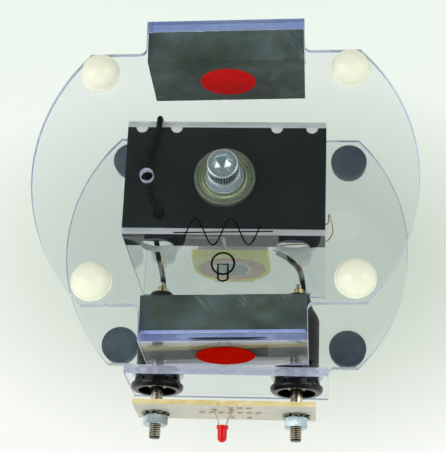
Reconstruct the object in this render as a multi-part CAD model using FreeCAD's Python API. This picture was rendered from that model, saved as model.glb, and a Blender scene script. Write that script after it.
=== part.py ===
import FreeCAD, Part
import math
import os

# Bench alternator and motor for teaching: a rotor of two ferrite magnets, carried under a clear
# sheet, turns on a ball bearing above a coil that stands in a clear open frame on a clear base.
# Millimetres, +Z up. The sizes below are measured from the rotor axis, at the level of the bench;
# every sub-part is then shifted back, so that the origin is the middle of the whole footprint.

V = FreeCAD.Vector
X_AXIS = V(1, 0, 0)
Y_AXIS = V(0, 1, 0)
Z_AXIS = V(0, 0, 1)
SIDES = (-1, 1)

# ---- driving dimensions -------------------------------------------------------------------

# clear sheets, shared by the base and the rotor
sheet = 3.0
disc_radius = 60.0
flat_share_of_radius = 0.7
corner_angle = 41.4
tab_reach = 53.6
bend_inner_radius = 1.0
tab_corner_radius = 2.0

# feet and base
foot_height = 5.0
foot_radius = 6.4
foot_inset = 7.7
base_tab_half_width = 32.8
base_tab_top = 38.0

# open coil frame, bent from thinner clear sheet
frame_sheet = 2.0
frame_bend_radius = 1.0
frame_half_width = 31.3
frame_inner_half_depth = 17.06
frame_centre_y = 0.5
frame_top = 70.2
frame_hole_radius = 5.3
frame_hole_x = 21.3
frame_hole_drop = 10.6
lead_hole_radius = 2.4
lead_hole_x = 24.0
lead_hole_z = 13.6

# black block between the frame walls, which seats the bearing
top_block_thickness = 11.6
relief_radius = 1.85
relief_half_spacing = 5.5
bearing_lip_radius = 7.4
wire_hole_radius = 1.9
wire_hole_x = -20.0
wire_hole_y = -11.8
wire_groove_width = 1.4
wire_groove_depth = 0.8
wire_groove_top = 66.6
wire_groove_x = -0.1

# ball bearing, 6 x 19 x 6
bearing_bore_radius = 3.0
bearing_outer_radius = 9.5
bearing_width = 6.0
bearing_inner_ring_radius = 4.5
bearing_outer_ring_inner_radius = 7.9
ball_radius = 1.75
ball_pitch_radius = 6.2
ball_count = 7
cage_thickness = 0.5
cage_half_height = 2.1
shield_thickness = 0.4
race_clearance = 0.05
shield_gap = 0.2

# hub: M6 socket screw, washer, shim, spacer and nut
rotor_gap = 0.5
screw_radius = 2.97
screw_head_radius = 5.0
screw_head_height = 6.0
screw_length = 20.0
hex_key = 5.0
hex_key_depth = 3.2
knurl_count = 36
knurl_depth = 0.3
hub_washer_radius = 5.1
hub_washer_thickness = 1.6
hub_spacer_radius = 4.3
hub_spacer_thickness = 1.0
hub_nut_flats = 10.0
hub_nut_height = 5.0
hub_hole_radius = 3.2

# rotor; at rest it stands turned a little to the left of square, as a free rotor does
rotor_rest_turn = 1.5
rotor_top = 76.0
rotor_tab_half_width = 25.3
rotor_tab_height = 27.5
crank_hole_radius = 2.0
crank_hole_x = -24.0
dome_radius = 6.35
dome_height = 6.2
dome_inset = 7.2
magnet_length = 50.0
magnet_height = 28.0
magnet_thickness = 11.0
magnet_edge_radius = 1.2
glue_pad_thickness = 0.9
glue_pad_left = -11.0
glue_pad_right = 13.4
glue_pad_top_drop = 4.0
glue_pad_height = 13.0
glue_pad_corner_radius = 2.0
pole_label_radius = 9.0
pole_label_thickness = 0.25
front_label_drop = 13.1
rear_label_drop = 14.4

# coil
cradle_half_width = 7.0
cradle_height = 2.6
flange_width = 25.8
flange_thickness = 2.4
flange_corner_radius = 1.0
flange_window_radius = 11.4
coil_length = 24.2
winding_radius = 11.3
tape_thickness = 0.5
core_radius = 5.5
core_sleeve_radius = 6.4
core_overhang = 0.4

# 4 mm safety sockets on the front tab
socket_x = 22.6
socket_z = 29.7
collar_radius = 7.5
collar_length = 1.3
collar_notch_count = 12
collar_notch_width = 0.7
collar_notch_depth = 0.7
rim_radius = 8.55
rim_length = 2.2
recess_radius = 6.15
recess_depth = 2.6
well_radius = 5.0
well_depth = 11.0
barrel_radius = 6.0
barrel_end_gap = 1.0
sleeve_radius = 7.1
sleeve_reach = 12.0
sleeve_step_radius = 5.85
sleeve_step_length = 7.0
sleeve_end_radius = 5.0
sleeve_end_length = 2.7
contact_outer_radius = 3.1
contact_bore_depth = 19.0
pin_radius = 1.5
wiring_gap = 3.6
panel_nut_length = 3.0
panel_nut_slot = 1.6

# plug-in indicator board
plug_gap = 5.65
plug_radius = 2.0
plug_reach = 11.0
shoulder_radius = 3.0
shoulder_length = 1.2
board_half_width = 28.9
board_thickness = 1.6
board_below = 7.0
board_above = 11.5
notch_half_width = 1.65
notch_depth = 0.6
pad_hole_radius = 0.5
pad_rows = (
    (8.3, (1.9, 4.9, 7.9)),
    (2.3, (-7.4, -4.3, -1.4, 1.7, 4.8, 7.8, 10.6)),
    (-4.0, (1.7, 7.6)),
)
washer_outer_radius = 4.5
washer_ring_radius = 3.2
washer_thickness = 1.0
washer_teeth = 10
tooth_twist = 28.0
nut_flats = 7.0
nut_height = 3.2
stud_radius = 1.98
stud_end = 4.2
thread_pitch = 0.7
thread_depth = 0.35
led_x = -0.5
led_rise = 5.5
led_radius = 1.5
led_rim_radius = 1.9
led_rim_length = 1.0
led_length = 5.3
led_lead_length = 5.2
led_lead_radius = 0.25
led_lead_spread = 2.8
led_lead_pitch = 1.27

# leads
lead_radius = 0.9
strand_radius = 0.45
strand_length = 9.0
solder_radius = 0.95
coil_wire_radius = 0.2

# clearances
sliding_clearance = 0.05
stud_hole_clearance = 0.15
seat_clearance = 0.02
rest_gap = 0.05

# ---- derived levels -----------------------------------------------------------------------

flat_half_depth = disc_radius * flat_share_of_radius
base_bottom = foot_height
base_top = base_bottom + sheet
frame_floor = base_top + frame_sheet
frame_hole_z = frame_top - frame_hole_drop
frame_front = frame_centre_y - frame_inner_half_depth - frame_sheet
frame_rear = frame_centre_y + frame_inner_half_depth + frame_sheet
frame_inner_front = frame_front + frame_sheet
frame_inner_rear = frame_rear - frame_sheet
top_block_bottom = frame_top - top_block_thickness
rotor_bottom = rotor_top - sheet
bearing_top = rotor_bottom - rotor_gap
bearing_bottom = bearing_top - bearing_width
panel_face = -tab_reach
panel_back = panel_face + sheet
rim_front = panel_face - collar_length - rim_length
board_back = rim_front - plug_gap
board_front = board_back - board_thickness
nut_back = board_front - washer_thickness
nut_front = nut_back - nut_height
stud_tip = nut_front - stud_end
sleeve_end = panel_back + sleeve_reach
socket_rear = sleeve_end + sleeve_step_length + sleeve_end_length
pin_tip = frame_front - wiring_gap
coil_front = frame_centre_y - coil_length / 2
coil_rear = coil_front + coil_length
coil_axis_z = frame_floor + rest_gap + flange_width / 2
tape_radius = flange_window_radius + tape_thickness
lead_level = frame_top + lead_radius + rest_gap
led_tip = board_front - led_lead_length - led_length
origin_shift = -(led_tip + tab_reach) / 2


# ---- helpers ------------------------------------------------------------------------------

def block(x0, x1, y0, y1, z0, z1):
    return Part.makeBox(x1 - x0, y1 - y0, z1 - z0, V(x0, y0, z0))


def rod(radius, start, end):
    run = end - start
    return Part.makeCylinder(radius, run.Length, start, run)


def rod_y(radius, x, y0, y1, z):
    return rod(radius, V(x, y0, z), V(x, y1, z))


def rod_z(radius, x, y, z0, z1):
    return rod(radius, V(x, y, z0), V(x, y, z1))


def ring_z(outer, inner, z0, z1):
    return rod_z(outer, 0, 0, z0, z1).cut(rod_z(inner, 0, 0, z0 - 1, z1 + 1))


def ring_y(outer, inner, x, y0, y1, z):
    return rod_y(outer, x, y0, y1, z).cut(rod_y(inner, x, y0 - 1, y1 + 1, z))


def polygon_prism(points, direction):
    face = Part.Face(Part.makePolygon(points + [points[0]]))
    return face.extrude(direction)


def hexagon_rod(flats, start, end, turn):
    """Hexagonal rod along Y, with its corners turned by turn degrees from the X direction."""
    corner = flats / math.sqrt(3)
    points = []
    for step in range(6):
        angle = math.radians(60 * step + turn)
        points.append(V(start.x + corner * math.cos(angle), start.y, start.z + corner * math.sin(angle)))
    return polygon_prism(points, end - start)


def hex_nut(flats, hole, start, end, turn):
    """Nut along Y between start and end, chamfered at both faces, with a plain bore."""
    body = hexagon_rod(flats, start, end, turn)
    corner = flats / math.sqrt(3)
    chamfer = (corner - flats / 2) * 0.6
    length = abs(end.y - start.y)
    low = min(start.y, end.y)
    outline = [
        V(0, low, 0), V(flats / 2, low, 0), V(corner, low + chamfer, 0),
        V(corner, low + length - chamfer, 0), V(flats / 2, low + length, 0), V(0, low + length, 0),
    ]
    turned = Part.Face(Part.makePolygon(outline + [outline[0]])).revolve(V(0, 0, 0), Y_AXIS, 360)
    turned.translate(V(start.x, 0, start.z))
    return body.common(turned).cut(rod_y(hole, start.x, low - 1, low + length + 1, start.z))


def mirrored_y(shape):
    return shape.mirror(V(0, 0, 0), Y_AXIS)


def rounded(shape, radius, keep):
    """Fillet the edges of shape that keep(edge) accepts."""
    return shape.makeFillet(radius, [edge for edge in shape.Edges if keep(edge)])


def is_vertical(edge, z_span):
    box = edge.BoundBox
    return box.XLength < 1e-6 and box.YLength < 1e-6 and abs(box.ZLength - z_span) < 1e-6


def bent_profile(half_width, root, reach, outer_level, height, thickness, inner_radius, y_sign, z_sign):
    """Strip of sheet that runs out to reach along y_sign and bends through 90 degrees towards z_sign."""
    outer_radius = inner_radius + thickness
    turn = reach - outer_radius

    def at(out, rise):
        return V(-half_width, y_sign * out, outer_level + z_sign * rise)

    def arc(radius):
        slant = radius * math.sqrt(0.5)
        return Part.Arc(at(turn, outer_radius - radius), at(turn + slant, outer_radius - slant),
                        at(turn + radius, outer_radius)).toShape()

    edges = [
        Part.makeLine(at(root, 0), at(turn, 0)),
        arc(outer_radius),
        Part.makeLine(at(reach, outer_radius), at(reach, height)),
        Part.makeLine(at(reach, height), at(reach - thickness, height)),
        Part.makeLine(at(reach - thickness, height), at(reach - thickness, outer_radius)),
        arc(inner_radius),
        Part.makeLine(at(turn, thickness), at(root, thickness)),
        Part.makeLine(at(root, thickness), at(root, 0)),
    ]
    face = Part.Face(Part.Wire(Part.__sortEdges__(edges)))
    return face.extrude(V(2 * half_width, 0, 0))


def disc_with_flats(z0):
    disc = rod_z(disc_radius, 0, 0, z0, z0 + sheet)
    return disc.common(block(-disc_radius, disc_radius, -flat_half_depth, flat_half_depth, z0, z0 + sheet))


def soften_tab_roots(shape, half_width, z0):
    """Round the inside corners where a tab leaves the flat of the disc."""
    def at_root(edge):
        box = edge.BoundBox
        on_line = abs(abs(box.XMin) - half_width) < 1e-3 and abs(abs(box.YMin) - flat_half_depth) < 1e-3
        return is_vertical(edge, sheet) and on_line and abs(box.ZMin - z0) < 1e-3
    return rounded(shape, tab_corner_radius, at_root)


def near_corners(inset):
    """The four places on the disc, inset from its edge, that its feet or bumpers take."""
    reach = disc_radius - inset
    x = reach * math.cos(math.radians(corner_angle))
    y = reach * math.sin(math.radians(corner_angle))
    return [(across * x, back * y) for across in SIDES for back in SIDES]


def along(start, end, distance):
    step = end - start
    return start + step * (distance / step.Length)


def cord(points, radius):
    """Round cord along points: straight runs joined by tangent arcs as large as the runs allow."""
    edges = []
    place = points[0]
    for index in range(1, len(points) - 1):
        before = points[index - 1]
        corner = points[index]
        after = points[index + 1]
        run_in = corner - before
        run_out = after - corner
        turn = run_in.getAngle(run_out)
        shorter = min(run_in.Length, run_out.Length)
        bend = 0.45 * shorter / math.tan(turn / 2)
        setback = bend * math.tan(turn / 2)
        first = along(corner, before, setback)
        last = along(corner, after, setback)
        half = (first + last) * 0.5
        centre = corner + (half - corner) * (bend / math.cos(turn / 2) / (half - corner).Length)
        middle = centre + (corner - centre) * (bend / (corner - centre).Length)
        edges.append(Part.makeLine(place, first))
        edges.append(Part.Arc(first, middle, last).toShape())
        place = last
        print("cord bend radius", round(bend, 2), "turn", round(math.degrees(turn)))
    edges.append(Part.makeLine(place, points[-1]))
    path = Part.Wire(edges)
    section = Part.Wire(Part.Circle(points[0], points[1] - points[0], radius).toShape())
    sweep = Part.BRepOffsetAPI.MakePipeShell(path)
    sweep.add(section)
    sweep.build()
    sweep.makeSolid()
    solid = sweep.shape()
    expected = math.pi * radius * radius * path.Length
    print("cord volume ratio", round(solid.Volume / expected, 4))
    return solid


def save(name, *shapes):
    solids = []
    for shape in shapes:
        solids.extend(shape.Solids)
    for solid in solids:
        if not solid.isValid():
            raise ValueError(name + " is not a valid solid")
        solid.translate(V(0, origin_shift, 0))
    whole = solids[0] if len(solids) == 1 else Part.makeCompound(solids)
    whole.exportStep("parts/" + name + ".step")
    print(name, len(solids), round(sum(solid.Volume for solid in solids), 1))


def save_turned(name, *shapes):
    """Save a sub-part of the rotor, turned to where the rotor rests."""
    for shape in shapes:
        shape.rotate(V(0, 0, 0), Z_AXIS, rotor_rest_turn)
    save(name, *shapes)


# ---- base ---------------------------------------------------------------------------------

def base_plate():
    """Clear disc with two flats, whose front tab bends up as the socket panel."""
    tab = bent_profile(base_tab_half_width, flat_half_depth - 1, tab_reach, base_bottom,
                       base_tab_top - base_bottom, sheet, bend_inner_radius, -1, 1)
    plate = disc_with_flats(base_bottom).fuse(tab).removeSplitter()
    plate = soften_tab_roots(plate, base_tab_half_width, base_bottom)
    for side in SIDES:
        plate = plate.cut(rod_y(barrel_radius + seat_clearance, side * socket_x,
                                panel_face - 1, panel_back + 1, socket_z))
    return plate


def foot(x, y):
    """Soft round foot, slightly narrower at the bench, with a rounded lower edge."""
    edge = 0.8
    taper = 0.4
    outline = [V(0, 0, 0), V(foot_radius - taper - edge, 0, 0), V(foot_radius - taper, 0, edge),
               V(foot_radius, 0, foot_height), V(0, 0, foot_height)]
    shape = Part.Face(Part.makePolygon(outline + [outline[0]])).revolve(V(0, 0, 0), Z_AXIS, 360)
    shape.translate(V(x, y, 0))
    return shape


# ---- coil frame and top block -------------------------------------------------------------

def coil_frame():
    """Clear U, bent from one sheet: floor on the base, walls before and behind the coil."""
    height = frame_top - base_top
    reach = frame_inner_half_depth + frame_sheet
    halves = []
    for side in SIDES:
        halves.append(bent_profile(frame_half_width, 0, reach, base_top, height, frame_sheet,
                                   frame_bend_radius, side, 1))
    frame = halves[0].fuse(halves[1]).removeSplitter()
    for side in SIDES:
        frame = frame.cut(rod_y(frame_hole_radius, side * frame_hole_x, -reach - 1, reach + 1,
                                frame_hole_z))
        frame = frame.cut(rod_y(lead_hole_radius, side * lead_hole_x, -reach - 1, 0, lead_hole_z))
    frame.translate(V(0, frame_centre_y, 0))
    return frame


def top_block():
    """Black block between the walls: bearing seat, rear reliefs, and a grooved way for the coil wire."""
    block_top = block(-frame_half_width, frame_half_width, frame_inner_front, frame_inner_rear,
                      top_block_bottom, frame_top)
    block_top = block_top.cut(rod_z(bearing_outer_radius, 0, 0, bearing_bottom, frame_top + 1))
    block_top = block_top.cut(rod_z(bearing_lip_radius, 0, 0, top_block_bottom - 1, frame_top))
    half_width = wire_groove_width / 2
    front = frame_inner_front
    groove_low = wire_groove_top - wire_groove_width
    block_top = block_top.cut(rod_z(wire_hole_radius, wire_hole_x, wire_hole_y, groove_low, frame_top + 1))
    block_top = block_top.cut(block(wire_groove_x - half_width, wire_groove_x + half_width, front - 1,
                                    front + wire_groove_depth, top_block_bottom - 1, wire_groove_top))
    block_top = block_top.cut(block(wire_hole_x - half_width, wire_groove_x + half_width, front - 1,
                                    front + wire_groove_depth, groove_low, wire_groove_top))
    block_top = block_top.cut(block(wire_hole_x - half_width, wire_hole_x + half_width, front - 1,
                                    wire_hole_y, groove_low, wire_groove_top))
    for side in SIDES:
        for step in SIDES:
            x = side * frame_hole_x + step * relief_half_spacing
            block_top = block_top.cut(rod_z(relief_radius, x, frame_inner_rear, top_block_bottom - 1,
                                            frame_top + 1))
    return block_top


# ---- bearing ------------------------------------------------------------------------------

def race_groove():
    groove = Part.makeTorus(ball_pitch_radius, ball_radius + race_clearance)
    groove.translate(V(0, 0, bearing_bottom + bearing_width / 2))
    return groove


def bearing_outer_ring():
    ring = ring_z(bearing_outer_radius, bearing_outer_ring_inner_radius, bearing_bottom, bearing_top)
    return ring.cut(race_groove())


def bearing_inner_ring():
    ring = ring_z(bearing_inner_ring_radius, bearing_bore_radius, bearing_bottom, bearing_top)
    return ring.cut(race_groove())


def bearing_shield(z0):
    return ring_z(bearing_outer_ring_inner_radius, bearing_inner_ring_radius + shield_gap, z0,
                  z0 + shield_thickness)


def ball_place(index):
    angle = 2 * math.pi * index / ball_count
    return V(ball_pitch_radius * math.cos(angle), ball_pitch_radius * math.sin(angle),
             bearing_bottom + bearing_width / 2)


def bearing_balls():
    return [Part.makeSphere(ball_radius, ball_place(index)) for index in range(ball_count)]


def bearing_cage():
    """Flat ribbon round the balls, opened by a pocket for each."""
    middle = bearing_bottom + bearing_width / 2
    cage = ring_z(ball_pitch_radius + cage_thickness / 2, ball_pitch_radius - cage_thickness / 2,
                  middle - cage_half_height, middle + cage_half_height)
    for index in range(ball_count):
        ball = ball_place(index)
        outward = V(ball.x, ball.y, 0).normalize()
        cage = cage.cut(rod(ball_radius + seat_clearance, ball - outward * ball_radius,
                            ball + outward * ball_radius))
    return cage


# ---- rotor --------------------------------------------------------------------------------

def rotor_plate():
    """Clear disc with two flats, whose front and rear tabs bend down outside the magnets."""
    plate = disc_with_flats(rotor_bottom)
    for side in SIDES:
        tab = bent_profile(rotor_tab_half_width, flat_half_depth - 1, tab_reach, rotor_top,
                           rotor_tab_height, sheet, bend_inner_radius, side, -1)
        plate = plate.fuse(tab)
    plate = soften_tab_roots(plate.removeSplitter(), rotor_tab_half_width, rotor_bottom)
    plate = plate.cut(rod_z(hub_hole_radius, 0, 0, rotor_bottom - 1, rotor_top + 1))
    return plate.cut(rod_z(crank_hole_radius, crank_hole_x, 0, rotor_bottom - 1, rotor_top + 1))


def dome(x, y):
    """Soft half-round bumper, a little flatter than a half ball."""
    ball = Part.makeSphere(dome_radius)
    stretch = FreeCAD.Matrix()
    stretch.scale(1, 1, dome_height / dome_radius)
    shape = ball.transformGeometry(stretch)
    shape = shape.common(block(-dome_radius, dome_radius, -dome_radius, dome_radius, 0, dome_height + 1))
    shape.translate(V(x, y, rotor_top))
    return shape


def magnet(back):
    """Ferrite block at the rear of the rotor, with its back face at back."""
    shape = block(-magnet_length / 2, magnet_length / 2, back - magnet_thickness, back,
                  rotor_bottom - magnet_height, rotor_bottom)
    return shape.makeFillet(magnet_edge_radius, shape.Edges)


def glue_pad(y0, y1):
    """Pad of adhesive that holds the front magnet on its tab."""
    top = rotor_bottom - glue_pad_top_drop
    shape = block(glue_pad_left, glue_pad_right, y0, y1, top - glue_pad_height, top)
    along_y = [edge for edge in shape.Edges if abs(edge.tangentAt(edge.FirstParameter).y) > 0.9]
    return shape.makeFillet(glue_pad_corner_radius, along_y)


def pole_label(y0, y1, drop):
    return rod_y(pole_label_radius, 0, y0, y1, rotor_bottom - drop)


def knurls(radius, z0, z1):
    """Fine V grooves round the screw head."""
    grooves = []
    for index in range(knurl_count):
        groove = polygon_prism([V(radius - knurl_depth, 0, z0), V(radius + 0.1, -knurl_depth, z0),
                                V(radius + 0.1, knurl_depth, z0)], V(0, 0, z1 - z0))
        groove.rotate(V(0, 0, 0), Z_AXIS, 360 * index / knurl_count)
        grooves.append(groove)
    return grooves


def hub_screw():
    """M6 socket screw, head up, with a knurled side, a chamfered rim and a hexagon socket."""
    seat = rotor_top + hub_washer_thickness
    rim = 0.5
    top = seat + screw_head_height
    outline = [V(0, 0, seat), V(screw_head_radius - 0.2, 0, seat), V(screw_head_radius, 0, seat + 0.2),
               V(screw_head_radius, 0, top - rim), V(screw_head_radius - rim, 0, top), V(0, 0, top)]
    head = Part.Face(Part.makePolygon(outline + [outline[0]])).revolve(V(0, 0, 0), Z_AXIS, 360)
    head = head.cut(Part.makeCompound(knurls(screw_head_radius, seat + 0.4, top - rim - 0.3)))
    corner = hex_key / math.sqrt(3)
    points = []
    for step in range(6):
        angle = math.radians(60 * step + 12)
        points.append(V(corner * math.cos(angle), corner * math.sin(angle), top - hex_key_depth))
    head = head.cut(polygon_prism(points, V(0, 0, hex_key_depth + 1)))
    shank = rod_z(screw_radius, 0, 0, seat - screw_length, seat + 1)
    return head.fuse(shank).removeSplitter()


def hub_nut():
    level = bearing_bottom - hub_spacer_thickness
    nut = hex_nut(hub_nut_flats, bearing_bore_radius, V(0, 0, 0), V(0, hub_nut_height, 0), 0)
    nut.rotate(V(0, 0, 0), X_AXIS, -90)
    nut.translate(V(0, 0, level))
    return nut


# ---- coil ---------------------------------------------------------------------------------

def coil_flange(y0, y1):
    """End of the coil former: square at the top, round below, with a window on the winding."""
    half = flange_width / 2
    upper = block(-half, half, y0, y1, coil_axis_z, coil_axis_z + half)

    def top_corner(edge):
        return edge.BoundBox.YLength > flange_thickness - 1e-3 and edge.BoundBox.ZMin > coil_axis_z + 1
    upper = rounded(upper, flange_corner_radius, top_corner)
    plate = upper.fuse(rod_y(half, 0, y0, y1, coil_axis_z)).removeSplitter()
    return plate.cut(rod_y(flange_window_radius, 0, y0 - 1, y1 + 1, coil_axis_z))


def coil_cradle():
    """Low saddle on the frame's floor, hollowed to the round of the coil former."""
    saddle = block(-cradle_half_width, cradle_half_width, coil_front, coil_rear, frame_floor,
                   frame_floor + cradle_height)
    return saddle.cut(rod_y(flange_width / 2 + seat_clearance, 0, coil_front - 1, coil_rear + 1,
                            coil_axis_z))


def coil_tape():
    return ring_y(tape_radius, flange_window_radius, 0, coil_front + flange_thickness,
                  coil_rear - flange_thickness, coil_axis_z)


def coil_winding():
    return ring_y(winding_radius, core_sleeve_radius, 0, coil_front + 0.3, coil_rear - 0.3, coil_axis_z)


def core_sleeve():
    return ring_y(core_sleeve_radius, core_radius, 0, coil_front, coil_rear, coil_axis_z)


def coil_core():
    core = rod_y(core_radius, 0, coil_front - core_overhang, coil_rear + core_overhang, coil_axis_z)
    return core.makeChamfer(0.3, core.Edges)


# ---- sockets ------------------------------------------------------------------------------

def socket_shell(x):
    """Insulating shell: rounded rim, notched collar and hollow barrel through the panel."""
    rim_back = panel_face - collar_length
    rim = rod_y(rim_radius, 0, rim_front, rim_back, 0)

    def front_edge(edge):
        return edge.BoundBox.YMax < rim_front + 1e-3

    def back_edge(edge):
        return edge.BoundBox.YMin > rim_back - 1e-3
    rim = rounded(rim, 1.4, front_edge)
    rim = rounded(rim, 0.6, back_edge)
    collar = rod_y(collar_radius, 0, rim_back, panel_face, 0)
    for index in range(collar_notch_count):
        notch = block(-collar_notch_width / 2, collar_notch_width / 2, rim_back, panel_face,
                      collar_radius - collar_notch_depth, collar_radius + 1)
        notch.rotate(V(0, 0, 0), Y_AXIS, 360 * index / collar_notch_count)
        collar = collar.cut(notch)
    barrel = rod_y(barrel_radius, 0, panel_face, sleeve_end - barrel_end_gap, 0)
    shell = rim.fuse(collar).fuse(barrel).removeSplitter()
    shell = shell.cut(rod_y(recess_radius, 0, rim_front - 1, rim_front + recess_depth, 0))
    shell = shell.cut(rod_y(well_radius, 0, rim_front, rim_front + well_depth, 0))
    shell = shell.cut(rod_y(contact_outer_radius, 0, rim_front, socket_rear, 0))
    shell.translate(V(x, 0, socket_z))
    return shell


def socket_nut(x):
    """Round slotted nut that clamps the shell to the panel from behind."""
    rear = panel_back + panel_nut_length
    nut = ring_y(sleeve_radius, barrel_radius + seat_clearance, 0, panel_back, rear, 0)
    slot = block(-panel_nut_slot / 2, panel_nut_slot / 2, rear - 1.2, rear + 1, -sleeve_radius - 1,
                 sleeve_radius + 1)
    nut = nut.cut(slot)
    nut.rotate(V(0, 0, 0), Y_AXIS, 35)
    nut.translate(V(x, 0, socket_z))
    return nut


def socket_sleeve(x):
    """Soft boot over the barrel's rear, stepped down twice onto the contact."""
    start = panel_back + panel_nut_length
    sleeve = rod_y(sleeve_radius, 0, start, sleeve_end, 0)

    def rear_edge(edge):
        return edge.BoundBox.YMin > sleeve_end - 1e-3
    sleeve = rounded(sleeve, 0.8, rear_edge)
    step_end = sleeve_end + sleeve_step_length
    sleeve = sleeve.fuse(rod_y(sleeve_step_radius, 0, sleeve_end - 1, step_end, 0))
    sleeve = sleeve.fuse(rod_y(sleeve_end_radius, 0, step_end - 1, socket_rear, 0)).removeSplitter()
    sleeve = sleeve.cut(rod_y(barrel_radius + seat_clearance, 0, start - 1,
                              sleeve_end - barrel_end_gap, 0))
    sleeve = sleeve.cut(rod_y(contact_outer_radius + seat_clearance, 0, start, socket_rear + 1, 0))
    sleeve.translate(V(x, 0, socket_z))
    return sleeve


def socket_contact(x):
    """Brass contact: bored front end for the plug, solid rear with a solder pin."""
    front = rim_front + 1.5
    body = rod_y(contact_outer_radius, x, front, socket_rear, socket_z)
    pin = rod_y(pin_radius, x, socket_rear - 1, pin_tip, socket_z)
    bore = rod_y(plug_radius + sliding_clearance, x, front - 1, rim_front + contact_bore_depth, socket_z)
    return body.fuse(pin).removeSplitter().cut(bore)


# ---- indicator board ----------------------------------------------------------------------

def module_board():
    """Small circuit board on two plugs: stud holes, rows of wire holes, a nick in its top edge."""
    top = socket_z + board_above
    board = block(-board_half_width, board_half_width, board_front, board_back, socket_z - board_below, top)
    board = board.cut(block(led_x - notch_half_width, led_x + notch_half_width, board_front - 1,
                            board_back + 1, top - notch_depth, top + 1))
    holes = [(side * socket_x, socket_z, stud_radius + stud_hole_clearance) for side in SIDES]
    holes += [(led_x + side * led_lead_spread, socket_z + led_rise, pad_hole_radius) for side in SIDES]
    for rise, columns in pad_rows:
        holes += [(x, socket_z + rise, pad_hole_radius) for x in columns]
    for x, z, radius in holes:
        board = board.cut(rod_y(radius, x, board_front - 1, board_back + 1, z))
    return board


def threaded_end(x):
    """Stud end with a ridge for each turn of the thread."""
    turns = int((nut_back - stud_tip) / thread_pitch)
    outline = [V(0, stud_tip, 0), V(stud_radius - thread_depth, stud_tip, 0)]
    for turn in range(turns):
        base = stud_tip + turn * thread_pitch
        outline.append(V(stud_radius, base + thread_pitch / 2, 0))
        outline.append(V(stud_radius - thread_depth, base + thread_pitch, 0))
    outline.append(V(stud_radius - thread_depth, nut_back, 0))
    outline.append(V(0, nut_back, 0))
    shape = Part.Face(Part.makePolygon(outline + [outline[0]])).revolve(V(0, 0, 0), Y_AXIS, 360)
    shape.translate(V(x, 0, socket_z))
    return shape


def plug_pin(x):
    """Plug pin in one with its threaded stud: rounded nose, shoulder behind the board."""
    nose = 1.2
    pin_end = rim_front + plug_reach
    pin = rod_y(plug_radius, x, board_back, pin_end, socket_z)

    def nose_edge(edge):
        return edge.BoundBox.YMin > pin_end - 1e-3
    pin = rounded(pin, nose, nose_edge)
    shoulder = rod_y(shoulder_radius, x, board_back, board_back + shoulder_length, socket_z)
    shank = rod_y(stud_radius - thread_depth, x, nut_back - 0.5, board_back + 1, socket_z)
    return pin.fuse(shoulder).fuse(shank).fuse(threaded_end(x)).removeSplitter()


def lock_washer(x, turn):
    """Flat ring with twisted teeth round its edge."""
    bore = stud_radius + stud_hole_clearance
    middle = board_front - washer_thickness / 2
    flat = 0.4
    washer = ring_y(washer_ring_radius, bore, 0, middle - flat / 2, middle + flat / 2, 0)
    for index in range(washer_teeth):
        tooth = block(washer_ring_radius - 0.4, washer_outer_radius, -flat / 2, flat / 2, -0.75, 0.75)
        tooth.rotate(V(0, 0, 0), X_AXIS, tooth_twist)
        tooth.rotate(V(0, 0, 0), Y_AXIS, 360 * index / washer_teeth + turn)
        tooth.translate(V(0, middle, 0))
        washer = washer.fuse(tooth)
    washer = washer.removeSplitter()
    slab = block(-washer_outer_radius, washer_outer_radius, nut_back, board_front,
                 -washer_outer_radius, washer_outer_radius)
    washer = washer.common(slab)
    washer.translate(V(x, 0, socket_z))
    return washer


def led_lens():
    """Round-nosed 3 mm lens with a rim at its base, pointing forwards."""
    base = board_front - led_lead_length
    x = led_x
    z = socket_z + led_rise
    rim = rod_y(led_rim_radius, x, base - led_rim_length, base, z)
    neck = base - led_length + led_radius
    body = rod_y(led_radius, x, neck, base, z)
    return rim.fuse(body).fuse(Part.makeSphere(led_radius, V(x, neck, z))).removeSplitter()


def led_lead(side):
    """Wire leg from the board to the lens, drawn in towards the lens."""
    z = socket_z + led_rise
    lens_x = led_x + side * led_lead_pitch
    board_x = led_x + side * led_lead_spread
    points = [V(board_x, board_back, z), V(board_x, board_front - 0.9, z),
              V(lens_x, board_front - led_lead_length + 1.0, z),
              V(lens_x, board_front - led_lead_length, z)]
    return cord(points, led_lead_radius)


# ---- leads --------------------------------------------------------------------------------

def strand_start(side):
    return V(side * socket_x, pin_tip + solder_radius + rest_gap, socket_z)


def lead_foot(side):
    """Where the lead turns in under the wall's foot, outside the frame."""
    return V(side * lead_hole_x, frame_front - 2.4, lead_hole_z + 0.6)


def lead_start(side):
    return along(strand_start(side), lead_foot(side), strand_length)


def bare_strand(side):
    """Tinned strand, with a bead of solder where it meets the pin's end."""
    bead = Part.makeSphere(solder_radius, strand_start(side))
    return bead.fuse(rod(strand_radius, strand_start(side), lead_start(side))).removeSplitter()


def left_lead():
    """Black lead: in by the wall's foot, out by the rear hole, over the wall and into the block."""
    hole_low = frame_hole_z - frame_hole_radius + lead_radius + 1.0
    points = [
        lead_start(-1),
        lead_foot(-1),
        V(-lead_hole_x, frame_inner_front + 4.0, lead_hole_z + 0.2),
        V(-26.5, -3.5, 19.0),
        V(-27.0, 3.5, 33.0),
        V(-24.8, 8.5, 46.0),
        V(-21.6, frame_inner_rear - 2.5, hole_low),
        V(-21.2, frame_rear + 5.0, hole_low + 0.4),
        V(-21.2, frame_rear + 4.6, lead_level + 0.15),
        V(-21.2, 15.5, lead_level),
        V(-23.4, 8.6, lead_level),
        V(-24.2, 0.8, lead_level),
        V(-23.0, -6.2, lead_level),
        V(wire_hole_x, wire_hole_y, lead_level),
        V(wire_hole_x, wire_hole_y, lead_level - 4.4),
    ]
    return cord(points, lead_radius)


def right_lead_end():
    return V(14.6, -3.0, 17.0)


def right_lead_bend():
    return V(21.5, -6.0, 15.4)


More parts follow.
